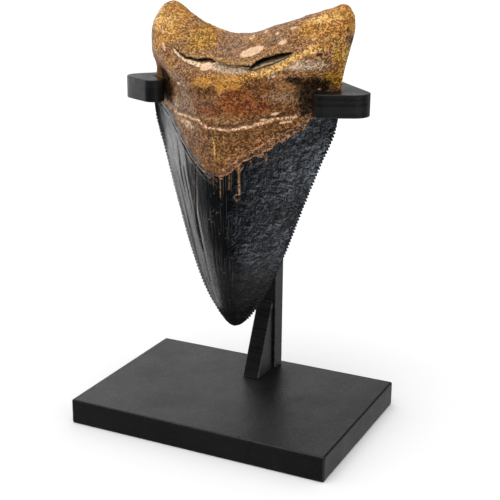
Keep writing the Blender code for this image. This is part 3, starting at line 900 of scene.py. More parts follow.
def tooth_layout():
    """The places and faces of the closed mesh: a front, a back and the rim that they share."""
    rows = rows_up()
    fine = between(rows, FINE_PER_ROW)[1:-1]
    fine_share = strip_share(fine)
    step = np.linspace(-1.0, 1.0, COLUMNS)
    spread = (1 - CROWDING) * step + CROWDING * np.sin(step * pi / 2)
    sheet = Sheet()
    tip = sheet.put(np.array([0.0]), np.array([0.0]), True)
    top_share = strip_share(np.array([1.0]))
    top = sheet.put(spread * (1 - top_share), 1.0, True)

    # The fine strips: the rim, shared by both faces, and two columns inside it
    near = 0.33 - 0.25 * ease((fine - 0.68) / 0.06)
    strips = {}
    for side in (-1, 1):
        ends = [sheet.put(side * (1 - place * top_share), 1.0, True) for place in (0.0, 0.08, 0.4)]
        rim = sheet.put(side * np.ones(len(fine)), fine, True)
        for front in (True, False):
            inside = [
                sheet.put(side * (1 - place * fine_share), fine, front)
                for place in (near, 0.4 + near * 0.8)
            ]
            columns = [np.concatenate([tip, c, end]) for c, end in zip([rim, *inside], ends)]
            strips[side, front] = columns[-1]
            sheet.weave(np.stack(columns[::-side], axis=1), front)

    # The rest of each face, coarser behind than in front
    row_share = strip_share(rows[1:-1])[:, None]
    for front in (True, False):
        columns = spread if front else spread[::BACK_STEP]
        inner = sheet.put(columns[None, :] * (1 - row_share), rows[1:-1, None], front)
        grid = np.vstack([np.full((1, inner.shape[1]), tip[0]), inner])
        sheet.weave(grid, front)
        if front:
            sheet.weave(np.vstack([inner[-1:], top[None, :]]), True)
        else:
            sheet.fan(top, inner[-1], False)
        for side, edge, corner in ((-1, grid[:, 0], top[0]), (1, grid[:, -1], top[-1])):
            sheet.fan(strips[side, front], np.append(edge, corner), (side > 0) != front)
    faces = [tuple(dict.fromkeys(face)) for face in sheet.faces]
    return np.concatenate(sheet.places, axis=1), [face for face in faces if len(face) > 2]


def serration(run, away, settings):
    """How far the rim stands out of its own line, in millimetres: small notched teeth."""
    wave = np.abs(np.sin(pi * run / (settings.serration_pitch / MM))) ** 0.7
    uneven = 1 + 0.3 * np.sin(run * 0.83) + 0.25 * np.sin(run * 2.17 + 1)
    return settings.serration_depth / MM * (wave - 0.62) * uneven * np.exp(-((away / 0.8) ** 2))


def split_depth(x, z):
    """Depth of the split across the root at (x, z), and how open it is there."""
    top, floor = height_at(FISSURE_TOP, x), height_at(FISSURE_FLOOR, x)
    inside = np.clip((top - z) / np.maximum(top - floor, 0.05), 0.0, 1.0)
    left = ease((-5.0 - x) / 4.0)
    right = ease((x - 11.0) / 3.0)
    reach = np.clip(np.minimum(x + 24.8, 30.4 - x) / 3.0, 0.0, 1.0)
    depth = (0.8 + 0.9 * left + 2.6 * right) * ease(reach)
    lip = np.exp(-(((z - top - 0.8) / 0.8) ** 2)) * ease(reach)
    return depth * ease(inside / 0.2) * np.clip(1 - inside, 0.0, 1.0) ** 1.2 - LIP_ROLL * lip


def front_relief(x, z, s, t):
    """How far the front face is raised at (x, z), in millimetres."""
    side = above(BAND_EDGE, x, z)
    raised = BAND_LEDGE * ease(side / 1.0 + 0.5) * ease((side + 30) / 30)
    for line, height, width in RIDGES:
        away, place = nearest(line, x, z)
        length = np.hypot(*np.diff(np.array(line), axis=0).T).sum()
        ends = ease(place / 3.0) * ease((length - place) / 3.0)
        raised += height * ends * np.exp(-((away / width) ** 2))
    raised -= split_depth(x, z)
    raised += COPPER_HEIGHT * spots(COPPER_MARKS, x, z)
    (fx, fz), zone = FOLD_CENTRE, spots(FOLD_ZONE, x, z)
    ring, turn = np.hypot(x - fx, z - fz), np.arctan2(z - fz, x - fx)
    arcs = np.stack([ring / FOLD_PITCH, turn * FOLD_REACH, 0.1 * ring], axis=1)
    raised += FOLD_HEIGHT * np.tanh(2.2 * rough(arcs, 1.0, 2, 5.5)) * zone * ease(-side / 2.0)
    flutes = rough(np.stack([s * FLUTES, t * 2.5, 0 * s], axis=1), 1.0, 3, 33.0)
    on_flank = 0.2 + 0.8 * ease((-0.25 - s) / 0.3)
    raised += FLUTE_HEIGHT * flutes * on_flank * ease((0.3 - s) / 0.4) * ease(-side / 2.0)
    raised += CREST_HEIGHT * np.exp(-((distance_to(CREST, x, z) / 0.9) ** 2))
    raised -= CREST_HEIGHT * np.exp(-((distance_to(FURROW, x, z) / 0.8) ** 2))
    for lift, place in BAND_STEPS:
        raised += lift * np.exp(-(((side - place) / 0.45) ** 2)) * (x < -4)
    lumps = np.sin(x * 0.31 + 1.0) * np.sin(z * 0.27 + 0.4) + np.sin(x * 0.17 - z * 0.23)
    return raised + ROOT_LUMPS * lumps * ease(side / 8.0)


def build_tooth_mesh(settings):
    """The tooth's mesh, with its marks stored on the vertices for the finish to read."""
    (s, t, front), faces = tooth_layout()
    at_front = front > 0.5
    xz = plan(s, t)
    away = np.full(len(s), np.inf)
    run = np.zeros(len(s))
    for edge, side in ((TOOTH_LEFT, -1), (TOOTH_RIGHT, 1)):
        shares = np.linspace(0.0, 1.0, 90)
        edge_away, edge_run = nearest(along(edge, shares), *xz.T)
        here = np.sign(s) == side
        away = np.where(here, edge_away, away)
        run = np.where(here, edge_run, run)
    away = np.where(s == 0, 5.0, away)
    side, step = np.sign(s), 1e-3
    uphill = plan(side, np.minimum(t + step, 1.0)) - plan(side, np.maximum(t - step, 0.0))
    out = np.stack([uphill[:, 1], -uphill[:, 0]], axis=1) * side[:, None]
    out /= np.maximum(np.linalg.norm(out, axis=1), 1e-9)[:, None]
    serrated = ease((t - SERRATED_FROM) / 0.02) * ease((SERRATED_TO - t) / 0.02)
    xz = xz + out * (serration(run, away, settings) * serrated)[:, None]
    x, z = xz.T

    off = np.where(at_front, stand_off(s, t, True), stand_off(s, t, False))
    relief = front_relief(x, z, s, t) * np.clip(off / RELIEF_FROM, 0.0, 1.0)
    comb = -0.07 * (0.5 + 0.5 * np.cos(2 * pi * run / (settings.serration_pitch / MM)))
    relief += comb * np.exp(-((away / 1.8) ** 2)) * np.clip(away / 0.3, 0, 1) * serrated
    off = np.where(at_front, np.maximum(off + relief, 0.0), off)
    y = profile(EDGE_SHEET, t) + np.where(at_front, -off, off)
    points = np.stack([x, y, z], axis=1)

    mesh = bpy.data.meshes.new("fossil_tooth")
    mesh.from_pydata((points * MM).tolist(), [], faces)
    mesh.shade_smooth()

    front_side = above(BAND_EDGE, x, z)
    back_side = above(BACK_EDGE, x, z)
    side = np.where(at_front, front_side, back_side)
    weather(mesh, points, side, away, settings)

    lip = height_at(FISSURE_TOP, x) - z
    floor = z - height_at(FISSURE_FLOOR, x)
    reach = ease(np.clip(np.minimum(x + 24.8, 30.4 - x) / 2.0, 0.0, 1.0)) * at_front
    marks = {
        "root_side": side,
        "across": s,
        "up": t,
        "front": front,
        "below_lip": lip,
        "above_floor": floor,
        "split_here": reach,
        "ridge_away": above(RIDGE, x, z),
        "ridge_on": at_front * ease((28.6 - np.abs(x)) / 2.0),
    }
    for i, (name, zones) in enumerate(STAINS.items()):
        plain = BACK_STAINS[name] * ease(0.5 + 1.6 * rough(points, 16.0, 3, 40.0 + 7.0 * i))
        marks[name] = np.where(at_front, spots(zones, x, z), plain)
    grainy = 0.45 + 0.55 * marks["olive"] + 0.3 * marks["gold"] + 0.85 * spots(GRAINY_ZONES, x, z)
    marks["grainy"] = np.clip(grainy - 0.35 * spots(SMOOTH_ZONES, x, z), 0.0, 1.4)
    marks["pale"] = spots(PALE_MARKS, x, z, edge=4) * at_front
    marks["black"] = spots(BLACK_MARKS, x, z, edge=3) * at_front
    marks["copper"] = spots(COPPER_MARKS, x, z) * at_front
    for name, lines in (("drips", DRIPS), ("scratches", SCRATCHES), ("copper_lines", COPPER_LINES)):
        clear = np.ones(len(x))
        for line, width, strength in lines:
            clear *= 1 - strength * np.clip(1.4 - distance_to(line, x, z) / width, 0.0, 1.0)
        marks[name] = (1 - clear) * at_front
    for name, values in marks.items():
        layer = mesh.attributes.new(name, "FLOAT", "POINT")
        layer.data.foreach_set("value", np.ascontiguousarray(values, dtype=np.float32))
    return mesh


def weather(mesh, points, side, away, settings):
    """Sinks pits and open grain into the root along the surface's own direction."""
    count = len(mesh.vertices)
    normals = np.empty(count * 3, np.float32)
    mesh.vertex_normals.foreach_get("vector", normals)
    normals = normals.reshape(count, 3)
    on_root = ease((side + 0.5) / 3.0) * ease(away / 1.5)
    slow = rough(points, 9.0, 3, 3.1)
    grain = rough(points, 2.6, 4, 7.7)
    pits = np.clip(rough(points, 1.7, 2, 11.3) - 0.25, 0.0, 1.0)
    depth = settings.pit_depth / MM
    sunk = on_root * (0.35 * slow + depth * (0.55 * grain - 1.6 * pits))
    x, y, z = points.T
    dimpled = ease((x + 1.0) / 8.0) * ease((z - 78.0) / 20.0) * (y < 4.0)
    bumps = DIMPLE_HEIGHT * dimpled * rough(points * np.array([1.0, 1.0, 1.35]), 3.4, 3, 21.0)
    sunk += (1 - ease((side + 0.5) / 3.0)) * (0.05 * slow + bumps) * ease(away / 3.0)
    placed = (points + normals * sunk[:, None]) * MM
    mesh.vertices.foreach_set("co", placed.ravel())
    mesh.update()


# ---------------------------------------------------------------- the tooth's finish
# Waves or cells per metre
MID_WAVES = 430.0
FINE_WAVES = 1650.0
CLOUD_WAVES = 150.0
FIBRE_WAVES = (700.0, 700.0, 140.0)
HUE_WAVES = 330.0
SAND_CELLS = 1750.0
HOLE_CELLS = 1050.0
RIPPLE_WAVES = 400.0
SHINE_WAVES = 75.0
# Waves over half the tooth's width and up its whole height
STREAK_WAVES = (55.0, 8.0)
HAIR_WAVES = (66.0, 6.0)

TONE_MIX = {"fine": 0.28, "mid": 0.38, "cloud": 0.16, "fibre": 0.18}
TONE_CONTRAST = 3.2
SQUARED_SAND_MEAN = 0.325
RIPPLE_STEP = (0.00030, 0.0, -0.00045)  # towards the side that the light seems to come from
TOOTH_BUMP = 0.34 * MM
TOOTH_SPECULAR = 0.34

CREAM = (0.78, 0.56, 0.36)
BAND_BROWN = (0.240, 0.095, 0.017)
COPPER = (0.55, 0.255, 0.10)
HUE_TINTS = [(0.34, (1.06, 0.93, 0.72)), (0.50, (1.0, 1.0, 1.0)), (0.66, (0.95, 1.06, 1.15))]
# Each stain's colour, and the strengths at which it starts and is full
STAIN_COLOURS = {
    "mauve": (0.22, 0.60, (0.30, 0.162, 0.080)),
    "lilac": (0.25, 0.62, (0.60, 0.430, 0.290)),
    "olive": (0.25, 0.65, (0.51, 0.245, 0.012)),
    "ochre": (0.22, 0.60, (0.55, 0.250, 0.034)),
    "brown": (0.25, 0.62, (0.22, 0.080, 0.014)),
    "rust": (0.25, 0.62, (0.245, 0.060, 0.001)),
    "gold": (0.25, 0.60, (0.86, 0.500, 0.150)),
    "grey": (0.30, 0.65, (0.24, 0.185, 0.125)),
    # dark paints dark stains, and also the painted shadow of the cradle's prongs on the root
    "dark": (0.26, 0.66, (0.030, 0.013, 0.003)),
}
STAIN_RAGGED = 0.6
# Walls of the split, as (share of the way down, colour): the near-black at the top is painted shade
# under the upper lip, the dark at the bottom painted shade in the crease at the lower lip
LEFT_WALL = [
    (0.0, (0.012, 0.006, 0.003)), (0.28, (0.020, 0.010, 0.005)), (0.42, (0.24, 0.125, 0.05)),
    (0.52, (0.95, 0.70, 0.44)), (0.88, (0.86, 0.60, 0.36)), (0.97, (0.12, 0.055, 0.02)),
]
RIGHT_WALL = [
    (0.0, (0.010, 0.005, 0.002)), (0.26, (0.014, 0.008, 0.004)), (0.46, (0.085, 0.055, 0.034)),
    (0.66, (0.22, 0.16, 0.105)), (0.80, (0.50, 0.35, 0.20)), (0.88, (0.22, 0.13, 0.06)),
    (0.96, (0.035, 0.016, 0.006)),
]
WALL_GRAIN = [(0.0, (0.45, 0.42, 0.38)), (0.5, (1.0, 1.0, 1.0)), (1.0, (1.35, 1.35, 1.35))]
# The worn ridge, as (from, to, softness, strength, colour) across it in millimetres; the core is a
# painted highlight
RIDGE_SIDES = (-0.80, 0.60, 0.3, 0.9, (0.70, 0.35, 0.155))
RIDGE_PAINTED_HIGHLIGHT = (-0.36, 0.36, 0.2, 0.85, (1.0, 0.72, 0.50))
RIDGE_SHADOW = (0.06, 0.020, 0.007)
ENAMEL_LINES = ((-1.3, 0.55), (-3.1, 0.35))  # beside the band on the left, as (place, strength)
ENAMEL_LINE_HALF = 0.16


def shades_of(shade, tone, mean):
    """A ramp from deep to pale round one mean colour."""
    deep = tuple(c * k for c, k in zip(mean, (0.38, 0.32, 0.25)))
    low = tuple(c * k for c, k in zip(mean, (0.71, 0.66, 0.58)))
    high = tuple(1.24 * c for c in mean)
    cream = 0.32 * (max(mean) / 0.5) ** 0.5
    pale = tuple(0.9 * c + cream * (0.5 * p + 0.5 * c / max(mean)) for c, p in zip(mean, CREAM))
    reach = (0.5 / max(mean)) ** 0.25
    stops = [min(max(0.5 + (stop - 0.5) / reach, 0.0), 1.0) for stop in (0.0, 0.30, 0.66, 1.0)]
    return shade.ramp(tone, list(zip(stops, (deep, low, high, pale))))


def root_grain(shade, place):
    """The noises that the root's colour and relief share, and the tone that they make together."""
    made = SimpleNamespace(
        mid=shade.noise(place, MID_WAVES, 4.0, 0.66, 0.4),
        fine=shade.noise(place, FINE_WAVES, 2.0, 0.65),
        cloud=shade.noise(place, CLOUD_WAVES, 4.0, 0.62, 0.8),
        fibre=shade.noise(shade.stretch(place, *FIBRE_WAVES), 1.0, 3.0, 0.6, 0.6),
        sand=shade.grit(place, SAND_CELLS),
    )
    made.mixed = 0.0
    for name, share in TONE_MIX.items():
        made.mixed = shade.scale_add(getattr(made, name), share, made.mixed)
    made.off_mid = shade.minus(made.mid, 0.5)
    made.off_fine = shade.minus(made.fine, 0.5)
    tone = shade.scale_add(shade.minus(made.mixed, 0.5), TONE_CONTRAST, 0.5)

    # sand grains, a few of them bright as painted glints, and small dark holes between them
    grainy = shade.mark("grainy")
    made.swing = shade.scale_add(grainy, 1.45, 0.70)
    patched = shade.step(made.cloud, 0.38, 0.62, 0.45, 1.6)
    grit = shade.minus(shade.times(made.sand, made.sand), SQUARED_SAND_MEAN)
    tone = shade.math("ADD", tone, shade.times(grit, made.swing, patched))
    hollow = shade.step(shade.cells(place, HOLE_CELLS), 0.36, 0.16)
    made.hole = shade.times(hollow, shade.step(made.fine, 0.44, 0.56))
    tone = shade.minus(tone, shade.times(made.hole, grainy, 0.22))
    painted_glints = shade.times(shade.step(made.sand, 0.86, 0.92), shade.scale_add(grainy, 0.75, 0.16))
    made.tone = shade.math("ADD", tone, painted_glints, clamp=True)
    return made


def root_colour(shade, settings, place, grain):
    """Stained porous root: each stain is the same grain round its own mean colour."""
    colour = shades_of(shade, grain.tone, tuple(settings.root))
    band = shades_of(shade, grain.tone, BAND_BROWN)
    colour = shade.mix(shade.step(shade.mark("ridge_away"), 0.8, -0.6), colour, band)
    for name, (low, high, mean) in STAIN_COLOURS.items():
        raised = shade.scale_add(grain.cloud, STAIN_RAGGED, shade.mark(name))
        here = shade.step(raised, low + STAIN_RAGGED / 2, high + STAIN_RAGGED / 2)
        colour = shade.mix(here, colour, shades_of(shade, grain.tone, mean))
    hue = shade.noise(shade.stretch(place, 1.0, 1.0, 1.3), HUE_WAVES, 4.0, 0.75, 0.5)
    return shade.mix(1.0, colour, shade.ramp(hue, HUE_TINTS), "MULTIPLY")


def ridge_colour(shade, colour, grain):
    """Paints the worn ridge, pale with a painted highlight along its crest and a painted shadow over
    it.
    """
    on = shade.mark("ridge_on")
    wander = shade.scale_add(grain.off_mid, 1.5, shade.mark("ridge_away"))
    for low, high, soft, strength, mean in (RIDGE_SIDES, RIDGE_PAINTED_HIGHLIGHT):
        here = shade.times(shade.within(wander, low, high, soft), on, strength)
        colour = shade.mix(here, colour, shades_of(shade, grain.tone, mean))
    over = shade.times(shade.within(wander, 1.0, 2.2, 0.4), on, 0.6)
    return shade.mix(over, colour, RIDGE_SHADOW)


def split_colour(shade, colour, grain):
    """Paints the split: black painted shade under the upper lip, a cream sill on the left, grey on the
    right.
    """
    wobble = shade.scale_add(grain.off_mid, 2.2, shade.times(grain.off_fine, 0.8))
    below = shade.math("ADD", shade.mark("below_lip"), wobble)
    over = shade.mark("above_floor")
    here = shade.mark("split_here")
    tall = shade.math("MAXIMUM", shade.math("ADD", below, over), 0.2)
    share = shade.math("DIVIDE", below, tall)
    on_right = shade.step(shade.mark("across"), -0.12, -0.04)
    wall = shade.mix(on_right, shade.ramp(share, LEFT_WALL), shade.ramp(share, RIGHT_WALL))
    wall = shade.mix(1.0, wall, shade.ramp(grain.tone, WALL_GRAIN), "MULTIPLY")
    inside = shade.times(shade.step(below, -0.10, 0.12), shade.step(over, -0.35, 0.0), here)
    lip = shade.times(shade.within(below, -1.5, -0.15, 0.25), here, 0.8)
    colour = shade.mix(lip, colour, shades_of(shade, grain.tone, (0.44, 0.25, 0.08)))
    # painted shadow: a dark band just below the lower lip
    foot = shade.times(shade.within(over, -1.0, -0.25, 0.3), here, 0.35)
    colour = shade.mix(foot, colour, (0.10, 0.06, 0.03))
    return shade.mix(inside, colour, wall)


def pit_colour(shade, colour, grain):
    """Paints the cream pits with their brown rims, the black ones and the copper lumps."""
    pale = shade.mark("pale")
    filled = shade.step(shade.scale_add(grain.mid, 0.35, pale), 0.45, 0.75)
    rim = shade.times(shade.step(pale, 0.08, 0.3), shade.step(pale, 0.7, 0.4))
    colour = shade.mix(shade.times(rim, 0.6), colour, shades_of(shade, grain.tone, (0.46, 0.19, 0.07)))
    soft_tone = shade.scale_add(grain.tone, 0.30, 0.42)
    cream = shades_of(shade, soft_tone, (0.90, 0.61, 0.39))
    colour = shade.mix(shade.times(filled, 0.94), colour, cream)
    black = shade.step(shade.scale_add(grain.mid, 0.6, shade.mark("black")), 0.55, 0.95)
    colour = shade.mix(shade.times(black, 0.9), colour, (0.012, 0.007, 0.004))
    copper = shade.math("MAXIMUM", shade.mark("copper"), shade.mark("copper_lines"))
    copper = shade.step(shade.scale_add(grain.mid, 0.6, copper), 0.6, 0.9)
    return shade.mix(shade.times(copper, 0.85), colour, shades_of(shade, grain.tone, COPPER))


def flowing(shade, waves, detail, rough):
    """Noise drawn out along the blade."""
    flow = shade.add("ShaderNodeCombineXYZ")
    for socket, name, count in zip(flow.inputs, ("across", "up"), waves):
        shade.plug(socket, shade.times(shade.mark(name), count))
    return shade.noise(flow.outputs[0], 1.0, detail, rough)


def enamel_relief(shade, place):
    """Streaks and ripples of the enamel, and a painted highlight on the ripples, brighter in patches.
    """
    ripple = shade.noise(place, RIPPLE_WAVES, 5.0, 0.70, 0.5)
    beside = shade.add("ShaderNodeVectorMath", operation="ADD")
    shade.plug(beside.inputs[0], place)
    beside.inputs[1].default_value = RIPPLE_STEP
    fall = shade.minus(shade.noise(beside.outputs[0], RIPPLE_WAVES, 5.0, 0.70, 0.5), ripple)
    patchy = shade.step(shade.noise(place, SHINE_WAVES, 3.0, 0.6), 0.38, 0.66, 0.0, 0.27)
    lit = shade.scale_add(fall, shade.scale_add(patchy, 9.0, 3.0), patchy, clamp=True)
    return SimpleNamespace(
        streak=flowing(shade, STREAK_WAVES, 5.0, 0.68),
        hair=flowing(shade, HAIR_WAVES, 2.0, 0.5),
        ripple=ripple,
        lit=shade.times(lit, shade.step(shade.mark("up"), 0.16, 0.42, 0.12, 1.1)),
    )


def enamel_colour(shade, settings, low, grain, relief):
    """Near-black enamel, greyer down the blade, with fine streaks along it and a painted ripple
    highlight.
    """
    across = shade.mark("across")
    seen = shade.scale_add(shade.mark("front"), 0.7, 0.3)
    dust = shade.times(shade.step(grain.sand, 0.92, 0.97), shade.step(grain.cloud, 0.45, 0.65))
    thin = shade.step(relief.hair, 0.57, 0.66)
    broken = shade.step(relief.streak, 0.42, 0.56, 0.2, 1.0)
    lines = shade.times(thin, broken, seen, shade.step(across, 0.35, 0.05, 0.12, 0.45))
    drip = shade.times(shade.mark("drips"), shade.step(grain.tone, 0.0, 0.5, 0.55, 1.0))
    colour = tuple(settings.enamel)
    for share, over in (
        (low, (0.011, 0.0105, 0.0098)),
        (shade.step(relief.streak, 0.48, 0.66, 0.0, 0.55), (0.013, 0.015, 0.019)),
        (lines, (0.13, 0.125, 0.12)),
        # painted highlight: the lit sides of the ripples on the right flank, pale blue-grey
        (shade.times(relief.lit, shade.step(across, 0.0, 0.55), seen), (0.180, 0.200, 0.235)),
        (shade.times(dust, 0.6), (0.10, 0.095, 0.09)),
        (shade.times(shade.mark("scratches"), 0.8), (0.003, 0.003, 0.003)),
        (drip, shades_of(shade, grain.tone, (0.40, 0.20, 0.085))),
    ):
        colour = shade.mix(share, colour, over)
    return colour


def ragged_border(shade, grain):
    """Distance above the border of root and enamel, in millimetres, made ragged."""
    ragged = shade.scale_add(grain.off_mid, 3.4, shade.mark("root_side"))
    ragged = shade.scale_add(shade.minus(grain.cloud, 0.5), 5.0, ragged)
    return shade.scale_add(grain.off_fine, 1.4, ragged)


def trim_border(shade, root, enamel, ragged, grain):
    """Lines the border: copper on the right, dark on the left with fine lines beside it."""
    copper = shades_of(shade, grain.tone, COPPER)
    right = shade.step(shade.mark("across"), -0.10, 0.0)
    left = shade.minus(1.0, right)
    rim = shade.within(ragged, -0.1, 0.65, 0.2)
    root = shade.mix(shade.times(rim, right, 0.9), root, copper)
    root = shade.mix(shade.times(rim, left, 0.75), root, (0.022, 0.022, 0.026))
    strip = shade.times(shade.within(ragged, 0.85, 2.1, 0.3), shade.step(grain.mid, 0.40, 0.52))
    grey = shades_of(shade, grain.tone, (0.085, 0.062, 0.058))
    root = shade.mix(shade.times(strip, right, 0.8), root, grey)
    second = shade.times(shade.within(ragged, 2.25, 2.7, 0.25), shade.step(grain.cloud, 0.42, 0.5))
    root = shade.mix(shade.times(second, right, 0.75), root, copper)
    for away, strength in ENAMEL_LINES:
        line = shade.within(ragged, away - ENAMEL_LINE_HALF, away + ENAMEL_LINE_HALF, ENAMEL_LINE_HALF)
        enamel = shade.mix(shade.times(line, left, strength), enamel, (0.24, 0.16, 0.10))
    return root, enamel


def root_height(shade, grain):
    height = shade.scale_add(grain.fine, 1.1, grain.mid)
    height = shade.scale_add(grain.hole, -0.6, height)
    return shade.math("ADD", height, shade.times(grain.sand, grain.swing, 0.8))


def enamel_height(shade, relief):
    on_flank = shade.step(shade.mark("across"), -0.1, 0.35, 0.20, 3.0)
    height = shade.times(relief.ripple, on_flank)
    for source, share in (
        (relief.streak, 0.45), (relief.hair, 0.25),
        (shade.mark("scratches"), -0.35), (shade.mark("drips"), 0.3),
    ):
        height = shade.scale_add(source, share, height)
    return shade.times(height, 0.5)


def tooth_finish(settings):
    made, shade, shader = new_material("fossil tooth")
    place = shade.own_place()
    grain = root_grain(shade, place)
    root = root_colour(shade, settings, place, grain)
    root = ridge_colour(shade, root, grain)
    root = split_colour(shade, root, grain)
    root = pit_colour(shade, root, grain)

    relief = enamel_relief(shade, place)
    split = shade.add("ShaderNodeSeparateXYZ")
    shade.plug(split.inputs[0], place)
    level = split.outputs["Z"]
    low = shade.times(shade.step(level, 0.080, 0.064), shade.step(level, 0.046, 0.058))
    enamel = enamel_colour(shade, settings, low, grain, relief)

    ragged = ragged_border(shade, grain)
    is_root = shade.step(ragged, -0.12, 0.12)
    root, enamel = trim_border(shade, root, enamel, ragged, grain)
    shade.plug(shader.inputs["Base Color"], shade.mix(is_root, enamel, root))

    gloss = shade.step(grain.mixed, 0.42, 0.58, 0.10, 0.24)
    gloss = shade.scale_add(low, 0.10, gloss)
    gloss = shade.scale_add(shade.mark("drips"), 0.2, gloss)
    matt = shade.step(grain.tone, 0.0, 1.0, 0.52, 0.32)
    shade.plug(shader.inputs["Roughness"], shade.blend(is_root, gloss, matt))
    shader.inputs["Specular IOR Level"].default_value = TOOTH_SPECULAR
    height = shade.blend(is_root, enamel_height(shade, relief), root_height(shade, grain))
    shade.plug(shader.inputs["Normal"], shade.bump(height, TOOTH_BUMP, 0.9))
    return made


class FOSSIL_OT_tooth(bpy.types.Operator):
    """Build the serrated tooth with its split two-lobed root"""

    bl_idname = "fossil.tooth"
    bl_label = "Tooth"

    def execute(self, context):
        settings = context.scene.fossil_tooth
        tooth = bpy.data.objects.new("fossil_tooth", build_tooth_mesh(settings))
        context.scene.collection.objects.link(tooth)
        dress(tooth, "tooth", "fossil", tooth_finish(settings))
        return {"FINISHED"}


# ---------------------------------------------------------------- stage
CAMERA_PLACE_MM = (203.278, -407.412, 217.958)
CAMERA_YAW = -0.4497
CAMERA_PITCH = 0.2997
CAMERA_ROLL = 0.0095
CAMERA_LENS = 79.44
SENSOR_WIDTH = 36.0
CAMERA_NEAR = 0.01
CAMERA_FAR = 50.0


def aim_camera():
    """The camera: it looks down past the tooth from the front right."""
    ahead = Vector((
        sin(CAMERA_YAW) * cos(CAMERA_PITCH), cos(CAMERA_YAW) * cos(CAMERA_PITCH), -sin(CAMERA_PITCH)
    ))
    level = Vector((cos(CAMERA_YAW), -sin(CAMERA_YAW), 0.0))
    up = level.cross(ahead)
    right = level * cos(CAMERA_ROLL) + up * sin(CAMERA_ROLL)
    up = up * cos(CAMERA_ROLL) - level * sin(CAMERA_ROLL)
    lens = bpy.data.cameras.new("camera")
    lens.lens = CAMERA_LENS
    lens.sensor_width = SENSOR_WIDTH
    lens.clip_start = CAMERA_NEAR
    lens.clip_end = CAMERA_FAR
    camera = bpy.data.objects.new("camera", lens)
    turn = Matrix((right, up, -ahead)).transposed()
    camera.matrix_world = Matrix.Translation(Vector(CAMERA_PLACE_MM) * MM) @ turn.to_4x4()
    bpy.context.scene.collection.objects.link(camera)
    bpy.context.scene.camera = camera


def lay_floor(settings):
    made = bmesh.new()
    bmesh.ops.create_circle(made, cap_ends=True, segments=128, radius=settings.floor_radius)
    floor = finished("studio_floor", made)
    finish, shade, shader = new_material("pale floor")
    grain = shade.group(
        grain_group(), Place=shade.own_place(), Waves=900.0, Slow_Waves=2.0, Tone_Range=0.02
    )
    colour = shade.mix(1.0, tuple(settings.floor_tone), grain["Tone"], "MULTIPLY")
    shade.plug(shader.inputs["Base Color"], colour)
    shader.inputs["Roughness"].default_value = 1.0
    shader.inputs["Specular IOR Level"].default_value = 0.0
    floor.data.materials.append(finish)
    floor.visible_glossy = False
    floor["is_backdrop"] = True


# Broad patches of the studio seen in gloss, as (direction, cosines where the patch starts and is
# full, brightness, waves of the clutter that breaks it up or 0 for none)
STUDIO_PATCHES = [
    ((-0.95, 0.10, -0.30), 0.885, 0.955, 1.70, 4.5),
    ((-0.90, -0.40, -0.30), 0.60, 0.95, 0.18, 4.5),
    ((0.78, -0.40, -0.48), 0.84, 0.97, 1.10, 13.0),
    ((-0.75, 0.55, 0.40), 0.70, 1.0, 1.15, 0.0),
    ((-0.30, 0.945, 0.15), 0.975, 0.995, 0.45, 0.0),
    ((0.43, 0.86, -0.28), 0.86, 0.97, 0.55, 0.0),
    ((0.0, -0.10, 1.0), 0.80, 0.98, 1.20, 0.0),
]
STUDIO_DARK = 0.012
SUN_TURN = (radians(12.0), radians(-4.0), 0.0)
SUN_SPREAD = radians(50.0)
SUN_SHARE = 0.35


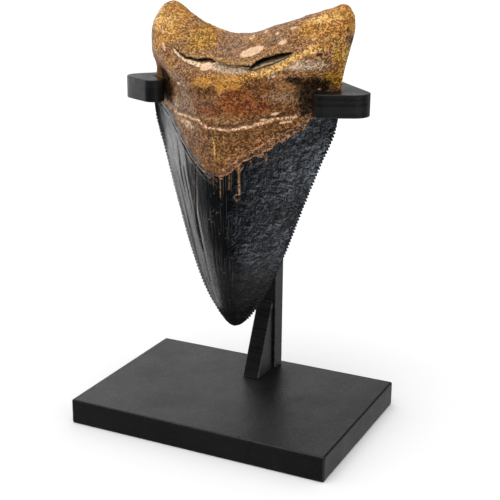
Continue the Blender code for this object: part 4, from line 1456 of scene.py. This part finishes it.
def light_studio(settings):
    """An even white room for colour, soft patches with a dark front for gloss, and a wide sun."""
    world = bpy.data.worlds.new("studio")
    world.use_nodes = True
    bpy.context.scene.world = world
    shade = Shade(world.node_tree)
    direction = shade.add("ShaderNodeTexCoord").outputs["Generated"]
    total = STUDIO_DARK
    for toward, low, high, bright, clutter_waves in STUDIO_PATCHES:
        dot = shade.add("ShaderNodeVectorMath", operation="DOT_PRODUCT")
        shade.plug(dot.inputs[0], direction)
        dot.inputs[1].default_value = Vector(toward).normalized()
        patch = shade.step(dot.outputs["Value"], low, high, 0.0, bright)
        if clutter_waves:
            clutter = shade.noise(direction, clutter_waves, 2.0, 0.5)
            patch = shade.times(patch, shade.step(clutter, 0.42, 0.58, 0.10, 1.9))
        total = shade.math("ADD", patch, total)
    path = shade.add("ShaderNodeLightPath")
    even = settings.daylight * (1 - SUN_SHARE)
    glossy = path.outputs["Is Glossy Ray"]
    seen = path.outputs["Is Camera Ray"]
    level = shade.blend(seen, shade.blend(glossy, even, total), 1.0)
    background = world.node_tree.nodes["Background"]
    shade.plug(background.inputs["Strength"], level)
    background.inputs["Color"].default_value = (1.0, 1.0, 1.0, 1.0)

    sun = bpy.data.lights.new("wide_sun", "SUN")
    sun.energy = pi * settings.daylight * SUN_SHARE
    sun.angle = SUN_SPREAD
    lamp = bpy.data.objects.new("wide_sun", sun)
    lamp.rotation_euler = SUN_TURN
    bpy.context.scene.collection.objects.link(lamp)


class FOSSIL_OT_stage(bpy.types.Operator):
    """Add the pale floor, the soft light and the camera"""

    bl_idname = "fossil.stage"
    bl_label = "Stage"

    def execute(self, context):
        settings = context.scene.fossil_stage
        lay_floor(settings)
        light_studio(settings)
        aim_camera()
        context.scene.view_settings.view_transform = "Standard"
        return {"FINISHED"}


class FOSSIL_PT_panel(bpy.types.Panel):
    """The builders and their settings, in the 3D view's sidebar"""

    bl_label = "Fossil Tooth"
    bl_idname = "FOSSIL_PT_panel"
    bl_space_type = "VIEW_3D"
    bl_region_type = "UI"
    bl_category = "Fossil"

    def draw(self, context):
        for operator in OPERATORS:
            self.layout.operator(operator.bl_idname)
        for group in SETTINGS:
            settings = getattr(context.scene, group)
            box = self.layout.box()
            for name in settings.bl_rna.properties.keys():
                if name not in ("rna_type", "name"):
                    box.prop(settings, name)


OPERATORS = (FOSSIL_OT_base, FOSSIL_OT_upright, FOSSIL_OT_cradle, FOSSIL_OT_tooth, FOSSIL_OT_stage)
SETTINGS = {"fossil_tooth": ToothSettings, "fossil_stand": StandSettings, "fossil_stage": StageSettings}


def register():
    for kind in (*SETTINGS.values(), *OPERATORS, FOSSIL_PT_panel):
        bpy.utils.register_class(kind)
    for name, kind in SETTINGS.items():
        setattr(bpy.types.Scene, name, PointerProperty(type=kind))


def unregister():
    for name in SETTINGS:
        delattr(bpy.types.Scene, name)
    for kind in (FOSSIL_PT_panel, *OPERATORS, *SETTINGS.values()):
        bpy.utils.unregister_class(kind)


def main():
    register()
    for operator in OPERATORS:
        group, name = operator.bl_idname.split(".")
        getattr(getattr(bpy.ops, group), name)()
    boxes = {"cad": CAD_BOX, "visual": [list(corner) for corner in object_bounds()]}
    boxes = {kind: [list(map(float, corner)) for corner in box] for kind, box in boxes.items()}


if __name__ == "__main__":
    main()
